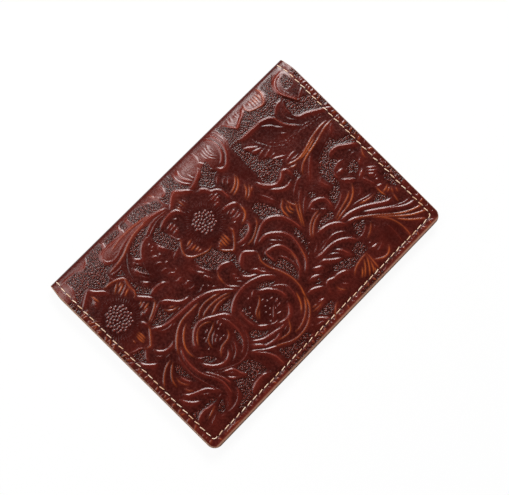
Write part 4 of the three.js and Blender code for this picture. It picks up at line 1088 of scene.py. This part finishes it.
def closed_sheet(name, outer, inner, flip, dense, materials):
    """A closed slab between two grids of points. Unless it is dense, the inner face is a few long strips."""
    rows, columns = outer.shape[:2]
    outer_index = np.arange(rows * columns).reshape(rows, columns)
    rim = np.ones((rows, columns), bool)
    if not dense:
        rim[1:-1, 1:-1] = False
    inner_index = np.full((rows, columns), -1)
    inner_index[rim] = rows * columns + np.arange(rim.sum())
    vertices = np.vstack([outer.reshape(-1, 3), inner[rim]])
    top = grid_faces(outer_index).tolist()
    walls = []
    for line_out, line_in, turned in (
        (outer_index[0], inner_index[0], False), (outer_index[-1], inner_index[-1], True),
        (outer_index[:, -1], inner_index[:, -1], False), (outer_index[:, 0], inner_index[:, 0], True),
    ):
        quads = np.stack([line_in[:-1], line_in[1:], line_out[1:], line_out[:-1]], axis=1)
        walls += (quads[:, ::-1] if turned else quads).tolist()
    if dense:
        under = grid_faces(inner_index)[:, ::-1].tolist()
    else:
        first, last = inner_index[0], inner_index[-1]
        under = [[first[1], *inner_index[:, 0], last[1]]]
        under += np.stack([first[2:-1], first[1:-2], last[1:-2], last[2:-1]], axis=1).tolist()
        under += [[first[-1], first[-2], last[-2], *inner_index[::-1, -1][:-1]]]
        under = [[int(v) for v in face] for face in under]
    faces = top + walls + under
    if flip:
        faces = [face[::-1] for face in faces]
    smooth = np.array([True] * len(top) + [False] * len(walls) + [dense] * len(under))
    index = np.array([0] * len(top) + [1] * len(walls) + [0 if dense else 1] * len(under))
    piece = new_piece(name, vertices, faces, smooth, index, materials)
    return piece, rim


def on_sheet(piece, rim, name, outer_values, inner_value):
    """A vertex attribute that is known on the outer grid and even on the inner one."""
    set_attribute(piece, name, np.concatenate([outer_values.ravel(), np.full(rim.sum(), inner_value)]))


def follow_fold(piece):
    """Bakes the piece's placement into its points; its shape was already laid round the fold."""
    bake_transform(piece)


def stands_for(kind, side, spine_parts):
    """The piece replaces its leaf's solid, and on the front also the solids of the spine."""
    parts = [side] + (spine_parts if side == "front" else [])
    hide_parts(*(f"{kind}_{part}" for part in parts))


def depths(side, low, high):
    """A solid's least and greatest depth under the outer face of its leaf, from its corners."""
    return (low[2], high[2]) if side == "back" else (CLOSED - high[2], CLOSED - low[2])


def make_leather(side, relief, materials):
    """The tooled outer leather of one leaf with its half of the spine."""
    edge = edge_of(side)
    x, y = sheet_grid(PROFILE.left, edge, SPACING[side])
    inset = inset_from_edge(x, y, edge)
    tooled = tooled_share(x)
    height = relief.sample(relief.height, x, y) * tooled * smoothstep(*RELIEF_FADE, inset)
    outward = np.clip(EDGE_ROUND - inset, 0, EDGE_ROUND)
    fall = EDGE_ROUND - np.sqrt(np.maximum(EDGE_ROUND**2 - outward**2, 0))
    outer = PROFILE.lay(x, y, plateau_depth(x) - height + EDGE_FALL * fall, side)
    inner = PROFILE.lay(x, y, LEATHER, side)
    piece, rim = closed_sheet(f"tooled_leather_{side}", outer, inner, side == "back", False, materials)
    for name in ("hollow", "dish", "warm", "ground", "grain"):
        on_sheet(piece, rim, name, relief.sample(getattr(relief, name), x, y) * tooled, 0.0)
    pale = np.maximum(1 - smoothstep(*PALE_RIM, inset), 1 - smoothstep(*PALE_FORE_EDGE, edge - x))
    on_sheet(piece, rim, "edge", pale, 1.0)
    # painted highlight: the crests' lighter colour, taken a little toward the light
    lit_side_crest = relief.sample(relief.hollow, x + HIGHLIGHT_SHIFT * FAR_SIDE[0], y + HIGHLIGHT_SHIFT * FAR_SIDE[1])
    on_sheet(piece, rim, "crest_rub_and_highlight", lit_side_crest * tooled, 0.0)
    from_spine = x - PROFILE.left
    # paler near the spine, as rubbed leather and painted sheen on the shoulder, and paler toward the fore
    # edge
    paler_and_sheen = smoothstep(*SPINE_WEAR_AND_SHEEN_START, from_spine) * (1 - smoothstep(*SPINE_WEAR_AND_SHEEN_END, from_spine))
    paler_and_sheen = np.maximum(paler_and_sheen, FORE_PALE_SHARE * (1 - smoothstep(*FORE_PALE, edge - x)))
    on_sheet(piece, rim, "paler_and_sheen", paler_and_sheen, 0.0)
    for name, patches in (("shade", PAINTED_SHADE_PATCHES), ("burnish", BURNISHED_PATCHES)):
        amount = np.zeros(x.shape)
        for spot_x, spot_y, radius in patches:
            full, none = (share * radius for share in PATCH_FADE)
            raise_to(amount, 1 - smoothstep(full, none, np.hypot(x - spot_x, y - spot_y)))
        on_sheet(piece, rim, name, amount, 0.0)
    # painted shadow along the fore edge's outer rim, where the edge turns into shade
    on_sheet(piece, rim, "painted_rim_shadow", 1 - smoothstep(*SHADOWED_RIM, edge - x), 0.0)
    set_flat_place(piece, rim, x, y)
    follow_fold(piece)
    stands_for("outer_cover", side, ["spine"])
    return piece


def make_lining(side, materials):
    """The thin lining inside the leather of one leaf and its half of the spine."""
    low, high = corners(f"lining_{side}")
    depth_low, depth_high = depths(side, low, high)
    trim = edge_of(side) - high[0]
    x, y = sheet_grid(PROFILE.left, edge_of(side), LINING_SPACING, FOLD_COLUMNS, trim)
    outer = PROFILE.lay(x, y, depth_low, side)
    inner = PROFILE.lay(x, y, depth_high, side)
    piece, rim = closed_sheet(f"lining_cloth_{side}", outer, inner, side == "back", True, materials)
    set_flat_place(piece, rim, x, y)
    follow_fold(piece)
    stands_for("lining", side, ["spine"])


def make_pocket(node, side, name, thickness, materials):
    """A pocket of smooth leather with a creased mouth, sewn flat round three sides and lifted between."""
    low, high = corners(node)
    level, _ = depths(side, low, high)
    mouth, edge = low[0], high[0]
    x, y = sheet_grid(mouth, edge, POCKET_SPACING, MOUTH_COLUMNS)
    inset = inset_from_edge(x, y, edge)
    lift = POCKET_ROOM * smoothstep(*POCKET_SLOPE, inset)
    from_mouth = x - mouth
    from_rim = np.minimum(inset, from_mouth)
    fall = POCKET_FALL * (1 - smoothstep(0.0, POCKET_FALL_WIDTH, from_rim))
    groove = MOUTH_CUT * bell(from_mouth - MOUTH_CREASE, MOUTH_CUT_WIDTH) * smoothstep(*MOUTH_ENDS, inset)
    # the face that shows is the one turned away from the leaf
    shown = PROFILE.lay(x, y, level + lift + thickness - fall - groove, side)
    hidden = PROFILE.lay(x, y, level + lift + UNDER_FALL * fall, side)
    piece, rim = closed_sheet(name, shown, hidden, side == "front", True, materials)
    on_sheet(piece, rim, "edge", 1 - smoothstep(*POCKET_PALE, from_rim), 0.0)
    on_sheet(piece, rim, "crease", bell(from_mouth - MOUTH_CREASE, MOUTH_DYE_WIDTH), 0.0)
    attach(piece, side + "_leaf")
    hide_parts(node)


def tube_ring(centres, normals, sideways, radii):
    """Rings of a twisted two-ply thread round its centre line."""
    angle = np.linspace(0, 2 * math.pi, THREAD_SIDES, endpoint=False)[None, :]
    share = np.linspace(0, 1, len(centres))[:, None]
    reach = radii[:, None] * (1 + PLY_DEPTH * np.cos(2 * (angle - 2 * math.pi * TWIST_TURNS * share)))
    return (
        centres[:, None, :] + (reach * np.cos(angle))[..., None] * normals[:, None, :]
        + (reach * np.sin(angle))[..., None] * sideways[:, None, :]
    )


def seam_depth(x):
    """The depth of the outer face along the seam."""
    return plateau_depth(x) + SEAM_PULL


def stack_surface(side):
    """The depth of the inner face along the seam, pocket by pocket, as a function of the sheet's x."""
    _, lining = depths(side, *corners(f"lining_{side}"))
    pockets = [(f"passport_sleeve_{side}", SLEEVE_THICKNESS)]
    if side == "front":
        pockets += [("card_pocket_1", CARD_THICKNESS), ("card_pocket_2", CARD_THICKNESS)]

    def depth_at(x):
        depth = np.full(x.shape, lining)
        for node, thickness in pockets:
            low, high = corners(node)
            level, _ = depths(side, low, high)
            depth = np.where(x > low[0] + POCKET_STEP, level + thickness, depth)
        return depth
    return depth_at


def make_stitches(kind, side, depth_at, outward, material, rng):
    """A row of stitches, each a short twisted thread that rises from one hole and dives into the next."""
    path = seam_path(edge_of(side))
    share = np.linspace(0, 1, THREAD_RINGS)
    rise = 1 - np.abs(2 * share - 1) ** STITCH_SQUARENESS
    grid = np.arange(THREAD_RINGS * THREAD_SIDES).reshape(THREAD_RINGS, THREAD_SIDES)
    turned = np.roll(grid, -1, axis=1)
    walls = np.stack([grid[:-1], turned[:-1], turned[1:], grid[1:]], axis=-1).reshape(-1, 4)
    vertices, faces, tones = [], [], []
    for number, (start, end) in enumerate(stitch_ends(path)):
        start, end = (start, end) + rng.uniform(-STITCH_JITTER, STITCH_JITTER, 2)
        slant = STITCH_SLANT * rng.uniform(*STITCH_SLANT_SPREAD)
        aside = STITCH_JITTER * rng.uniform(-1, 1)
        spots = along_path(path, start + (end - start) * share)
        run = along_path(path, start + (end - start) * share + PATH_PROBE) - spots
        across = np.stack([-run[:, 1], run[:, 0]], axis=1) / np.linalg.norm(run, axis=1)[:, None]
        spots = spots + across * (slant * (0.5 - share) + aside)[:, None]
        depth = depth_at(spots[:, 0]) - outward * (STITCH_LIFT * rise - STITCH_DIVE * (1 - rise))
        centres = PROFILE.lay(spots[:, 0], spots[:, 1], depth, side)
        above = PROFILE.lay(spots[:, 0], spots[:, 1], depth - DEPTH_PROBE, side)
        normals = (above - centres) / DEPTH_PROBE
        sideways = np.cross(np.gradient(centres, axis=0), normals)
        sideways /= np.linalg.norm(sideways, axis=1)[:, None]
        radii = THREAD_RADIUS * (STITCH_TIP_SHARE + (1 - STITCH_TIP_SHARE) * rise)
        vertices.append(tube_ring(centres, normals, sideways, radii).reshape(-1, 3))
        base = number * grid.size
        faces += (base + walls).tolist() + [(base + grid[0][::-1]).tolist(), (base + grid[-1]).tolist()]
        tones.append(np.full(grid.size, rng.uniform()))
    smooth, first_material = np.ones(len(faces), bool), np.zeros(len(faces), int)
    name = f"{kind}_stitches_{side}"
    piece = new_piece(name, np.vstack(vertices), faces, smooth, first_material, [material])
    face_outward(piece)
    set_attribute(piece, "tone", np.concatenate(tones))
    follow_fold(piece)
    stands_for(f"{kind}_thread", side, ["spine_top", "spine_bottom"])


def face_outward(piece):
    """Turns the faces of closed shapes to point out."""
    shape = bmesh.new()
    shape.from_mesh(piece.data)
    bmesh.ops.recalc_face_normals(shape, faces=shape.faces)
    shape.to_mesh(piece.data)
    shape.free()


def srgb(red, green, blue):
    """A colour of 0 to 255 levels as linear light."""
    def linear(level):
        value = level / 255
        return value / 12.92 if value <= 0.04045 else ((value + 0.055) / 1.055) ** 2.4
    return (linear(red), linear(green), linear(blue), 1.0)


class Shader:
    """A material's node tree with short calls to add and join nodes."""

    def __init__(self, name):
        self.material = bpy.data.materials.new(name)
        self.material.use_nodes = True
        self.tree = self.material.node_tree
        self.surface = self.tree.nodes["Principled BSDF"]
        self.output = self.tree.nodes["Material Output"]

    def give(self, value, socket):
        """Joins a node's output to a socket, or sets the socket to a plain value."""
        if isinstance(value, bpy.types.NodeSocket):
            self.tree.links.new(value, socket)
        else:
            socket.default_value = value

    def feed(self, name, value):
        """Gives the surface one of its inputs."""
        self.give(value, self.surface.inputs[name])

    def add(self, kind, inputs, output, **settings):
        """Adds a node, gives it its inputs and returns one of its outputs."""
        node = self.tree.nodes.new(kind)
        for name, value in settings.items():
            setattr(node, name, value)
        for name, value in inputs.items():
            self.give(value, node.inputs[name])
        return node.outputs[output]

    def attribute(self, name, output="Fac"):
        return self.add("ShaderNodeAttribute", {}, output, attribute_name=name)

    def object_place(self):
        """Places on the object, in metres."""
        return self.add("ShaderNodeTexCoord", {}, "Object")

    def math(self, operation, *values):
        return self.add("ShaderNodeMath", dict(enumerate(values)), 0, operation=operation)

    def plus(self, first, second):
        return self.math("ADD", first, second)

    def times(self, first, second):
        return self.math("MULTIPLY", first, second)

    def mix(self, share, first, second):
        return self.add("ShaderNodeMix", {0: share, 6: first, 7: second}, 2, data_type="RGBA")

    def stain(self, colour, mask, share, levels):
        """The colour, taken a share of the way to other levels where the mask says so."""
        return self.mix(self.times(mask, share), colour, srgb(*levels))

    def noise(self, where, scale, detail=3.0, roughness=0.55):
        inputs = {"Vector": where, "Scale": scale, "Detail": detail, "Roughness": roughness}
        return self.add("ShaderNodeTexNoise", inputs, "Fac")

    def cells(self, where, scale, smooth):
        inputs = {"Vector": where, "Scale": scale, "Smoothness": smooth}
        return self.add("ShaderNodeTexVoronoi", inputs, "Distance", feature="SMOOTH_F1")

    def ramp(self, value, low, high):
        inputs = {"Value": value, "From Min": low, "From Max": high}
        return self.add("ShaderNodeMapRange", inputs, "Result", interpolation_type="SMOOTHSTEP")

    def bump(self, height, distance, strength):
        inputs = {"Height": height, "Distance": distance, "Strength": strength}
        return self.add("ShaderNodeBump", inputs, "Normal")


def tooled_leather():
    """Glossy mahogany leather: dark dye and painted shade in the hollows and dark patches, painted highlight
    on lit crests and pebble tops, painted sheen near the spine, warm burnish on some ridges, pebbled ground.
    """
    shader = Shader("tooled_leather")
    place = shader.attribute("sheet", "Vector")
    ground, edge, paler_and_sheen, shade = (shader.attribute(name) for name in ("ground", "edge", "paler_and_sheen", "shade"))
    clouds = shader.ramp(shader.noise(place, 0.09, 4.0), 0.3, 0.7)
    mottle = shader.ramp(shader.noise(place, 0.9, 4.0), 0.35, 0.7)
    # dye and painted shade darken the broad dishes inside petals and leaves, and painted light brightens the
    # raised parts
    raised = shader.ramp(shader.attribute("dish"), 0.5, -0.5)
    tone = shader.plus(shader.times(clouds, 0.4), shader.times(raised, 0.6))
    colour = shader.mix(tone, srgb(42, 7, 5), srgb(88, 26, 19))
    colour = shader.stain(colour, mottle, 0.3, (104, 36, 25))
    # painted shade in the dark patches
    colour = shader.stain(colour, shade, 0.5, (44, 6, 4))
    # painted paler: rubbed leather and painted sheen on the spine's shoulder, and paler toward the fore edge
    colour = shader.stain(colour, paler_and_sheen, 0.45, (132, 48, 34))
    # pebble tops painted lighter as highlight and the gaps darker as shade, partly the grain's own colour
    grain = shader.ramp(shader.attribute("grain"), 0.2, 0.8)
    pebble_lit_and_shaded = shader.mix(grain, srgb(42, 12, 8), srgb(110, 46, 36))
    colour = shader.mix(shader.times(ground, 0.9), colour, pebble_lit_and_shaded)
    # dark dye in the hollows together with painted shade on the ridges' far sides and in the grooves
    hollow_dye_and_shade = shader.ramp(shader.attribute("hollow"), 0.1, 0.9)
    colour = shader.stain(colour, hollow_dye_and_shade, 0.6, (34, 7, 5))
    # lighter crests: rubbed leather and painted highlight on the lit side
    crest_rub_and_highlight = shader.ramp(shader.attribute("crest_rub_and_highlight"), -0.2, -0.95)
    colour = shader.stain(colour, crest_rub_and_highlight, 0.36, (156, 66, 50))
    patches = shader.times(shader.ramp(shader.noise(place, 0.16, 2.0), 0.2, 0.5), 0.35)
    burnish = shader.math("MAXIMUM", patches, shader.times(shader.attribute("burnish"), 0.75))
    colour = shader.stain(colour, shader.attribute("warm"), burnish, (172, 82, 36))
    colour = shader.stain(colour, edge, 0.5, (184, 138, 110))
    # painted shadow on the fore edge's outer rim
    colour = shader.stain(colour, shader.attribute("painted_rim_shadow"), 0.8, (58, 38, 32))
    shader.feed("Base Color", colour)
    rough = shader.plus(shader.times(mottle, 0.08), 0.17)
    rough = shader.plus(rough, shader.times(paler_and_sheen, 0.06))
    shader.feed("Roughness", shader.plus(rough, shader.times(edge, 0.3)))
    shader.feed("Normal", shader.bump(shader.noise(place, 3.2, 4.0), 0.00005, 0.3))
    dull = shader.plus(shader.times(ground, 0.17), shader.times(shade, 0.08))
    shader.feed("Specular IOR Level", shader.math("SUBTRACT", 0.42, dull))
    return shader.material


def raw_edge():
    """The cut edge and flesh side of the leather: pale tan fibres."""
    shader = Shader("raw_leather_edge")
    place = shader.object_place()
    fibres = shader.noise(place, 2600, 5.0, 0.7)
    blotches = shader.ramp(shader.noise(place, 160), 0.4, 0.75)
    colour = shader.mix(shader.ramp(fibres, 0.3, 0.75), srgb(208, 162, 132), srgb(248, 216, 186))
    shader.feed("Base Color", shader.stain(colour, blotches, 0.5, (196, 142, 110)))
    shader.feed("Normal", shader.bump(fibres, 0.0001, 0.6))
    shader.feed("Roughness", 0.75)
    return shader.material


def pocket_leather():
    """Smooth brown leather with fine pores and a darker crease."""
    shader = Shader("pocket_leather")
    place = shader.object_place()
    clouds = shader.noise(place, 45, 4.0)
    pores = shader.cells(place, 1700, 0.3)
    colour = shader.mix(shader.ramp(clouds, 0.3, 0.7), srgb(92, 46, 32), srgb(114, 62, 44))
    colour = shader.stain(colour, shader.ramp(pores, 0.35, 0.0), 0.35, (64, 30, 22))
    colour = shader.stain(colour, shader.attribute("crease"), 0.6, (50, 23, 17))
    colour = shader.stain(colour, shader.attribute("edge"), 0.7, (184, 142, 116))
    shader.feed("Base Color", colour)
    shader.feed("Roughness", shader.plus(shader.times(clouds, 0.16), 0.4))
    shader.feed("Normal", shader.bump(pores, 0.00005, 0.7))
    return shader.material


def lining_cloth():
    """Dark brown plain weave."""
    shader = Shader("lining_cloth")
    place = shader.attribute("sheet", "Vector")
    runs = [shader.add("ShaderNodeSeparateXYZ", {0: place}, axis) for axis in ("X", "Y")]
    turns_per_mm = 2 * math.pi * LINING_THREADS_PER_MM
    warp, weft = (shader.math("SINE", shader.times(run, turns_per_mm)) for run in runs)
    weave = shader.times(warp, weft)
    colour = shader.mix(shader.ramp(weave, -0.8, 0.8), srgb(48, 28, 21), srgb(74, 44, 33))
    shader.feed("Base Color", shader.stain(colour, shader.noise(place, 4.0), 0.4, (60, 36, 28)))
    shader.feed("Normal", shader.bump(weave, 0.00008, 0.6))
    shader.feed("Roughness", 0.85)
    return shader.material


def waxed_thread():
    """Tan waxed thread, paler and darker from stitch to stitch, with fine fibres."""
    shader = Shader("waxed_thread")
    fibres = shader.noise(shader.object_place(), 3800)
    colour = shader.mix(shader.attribute("tone"), srgb(232, 184, 146), srgb(252, 226, 200))
    colour = shader.stain(colour, shader.ramp(fibres, 0.45, 0.8), 0.35, (186, 132, 98))
    shader.feed("Base Color", colour)
    shader.feed("Normal", shader.bump(fibres, 0.00006, 0.6))
    shader.feed("Roughness", 0.5)
    return shader.material


def floor_material():
    """A white floor that keeps a soft shadow; what the camera and reflections see is lifted to white."""
    shader = Shader("white_floor")
    tint = shader.ramp(shader.noise(shader.object_place(), 3.0, 2.0), 0.3, 0.7)
    shader.feed("Base Color", shader.mix(tint, srgb(246, 246, 245), srgb(251, 251, 250)))
    shader.feed("Roughness", 0.9)
    shader.feed("Specular IOR Level", 0.0)
    seen = 0.0
    for kind in ("Camera", "Glossy", "Transmission"):
        seen = shader.math("MAXIMUM", seen, shader.add("ShaderNodeLightPath", {}, f"Is {kind} Ray"))
    lifted = shader.add("ShaderNodeEmission", {}, 0)
    layers = {0: shader.times(seen, FLOOR_LIFT), 1: shader.surface.outputs[0], 2: lifted}
    shader.give(shader.add("ShaderNodeMixShader", layers, 0), shader.output.inputs["Surface"])
    return shader.material


def make_floor():
    """A wide flat floor just under the cover."""
    half = FLOOR_HALF_METRES
    corner_points = [(-half, -half, 0), (half, -half, 0), (half, half, 0), (-half, half, 0)]
    mesh = bpy.data.meshes.new("floor")
    mesh.from_pydata(corner_points, [], [(0, 1, 2, 3)])
    mesh.materials.append(floor_material())
    floor = bpy.data.objects.new("floor", mesh)
    floor.location.z = -FLOOR_DROP_METRES
    bpy.context.scene.collection.objects.link(floor)


def softbox(name, direction, distance, size, irradiance):
    """A square lamp that faces the object and gives this much light there."""
    toward = Vector(direction).normalized()
    lamp = bpy.data.lights.new(name, "AREA")
    lamp.shape = "SQUARE"
    lamp.size = size
    lamp.energy = irradiance * math.pi * distance**2
    holder = bpy.data.objects.new(name, lamp)
    holder.location = toward * distance
    holder.rotation_mode = "QUATERNION"
    holder.rotation_quaternion = toward.to_track_quat("Z", "Y")
    bpy.context.scene.collection.objects.link(holder)


def make_light():
    """A soft key from the spine's side, weaker lamps round the cover and a dim surround."""
    scene = bpy.context.scene
    scene.view_settings.view_transform = "Standard"
    world = bpy.data.worlds.new("studio")
    world.use_nodes = True
    background = world.node_tree.nodes["Background"]
    background.inputs["Color"].default_value = (1, 1, 1, 1)
    background.inputs["Strength"].default_value = SURROUND
    scene.world = world
    for lamp in LAMPS:
        softbox(*lamp)


def make_camera():
    """The camera that was fitted to the outline of the cover in the photograph."""
    azimuth, elevation, roll = map(math.radians, (CAMERA_AZIMUTH, CAMERA_ELEVATION, CAMERA_ROLL))
    back = Vector((
        math.sin(azimuth) * math.cos(elevation), -math.cos(azimuth) * math.cos(elevation), math.sin(elevation)
    ))
    right = Vector((math.cos(azimuth), math.sin(azimuth), 0))
    up = back.cross(right)
    turned_right = math.cos(roll) * right + math.sin(roll) * up
    turned_up = math.cos(roll) * up - math.sin(roll) * right
    camera = bpy.data.cameras.new("camera")
    camera.sensor_fit = "HORIZONTAL"
    camera.sensor_width = SENSOR_MM
    camera.lens = FOCAL_PIXELS / IMAGE_WIDTH * SENSOR_MM
    camera.clip_start = CLIP_START_METRES
    holder = bpy.data.objects.new("camera", camera)
    place = Matrix((turned_right, turned_up, back)).transposed().to_4x4()
    place.translation = (Vector(CAMERA_TARGET) + back * CAMERA_DISTANCE) * MM
    holder.matrix_world = place
    bpy.context.scene.collection.objects.link(holder)
    bpy.context.scene.camera = holder


def dress():
    """Every piece of the cover."""
    relief = draw_tooling()
    rng = np.random.default_rng(STITCH_SEED)
    tooled, raw, smooth = tooled_leather(), raw_edge(), pocket_leather()
    cloth, thread = lining_cloth(), waxed_thread()
    for side in ("front", "back"):
        leather = make_leather(side, relief, [tooled, raw])
        make_lining(side, [cloth, cloth])
        sleeve = f"passport_sleeve_{side}"
        make_pocket(sleeve, side, f"sleeve_leather_{side}", SLEEVE_THICKNESS, [smooth, raw])
        make_stitches("needle", side, seam_depth, 1, thread, rng)
        make_stitches("bobbin", side, stack_surface(side), -1, thread, rng)
    for number in (1, 2):
        make_pocket(f"card_pocket_{number}", "front", f"card_leather_{number}", CARD_THICKNESS, [smooth, raw])


make_camera()
make_light()
make_floor()
dress()

bpy.context.view_layer.update()
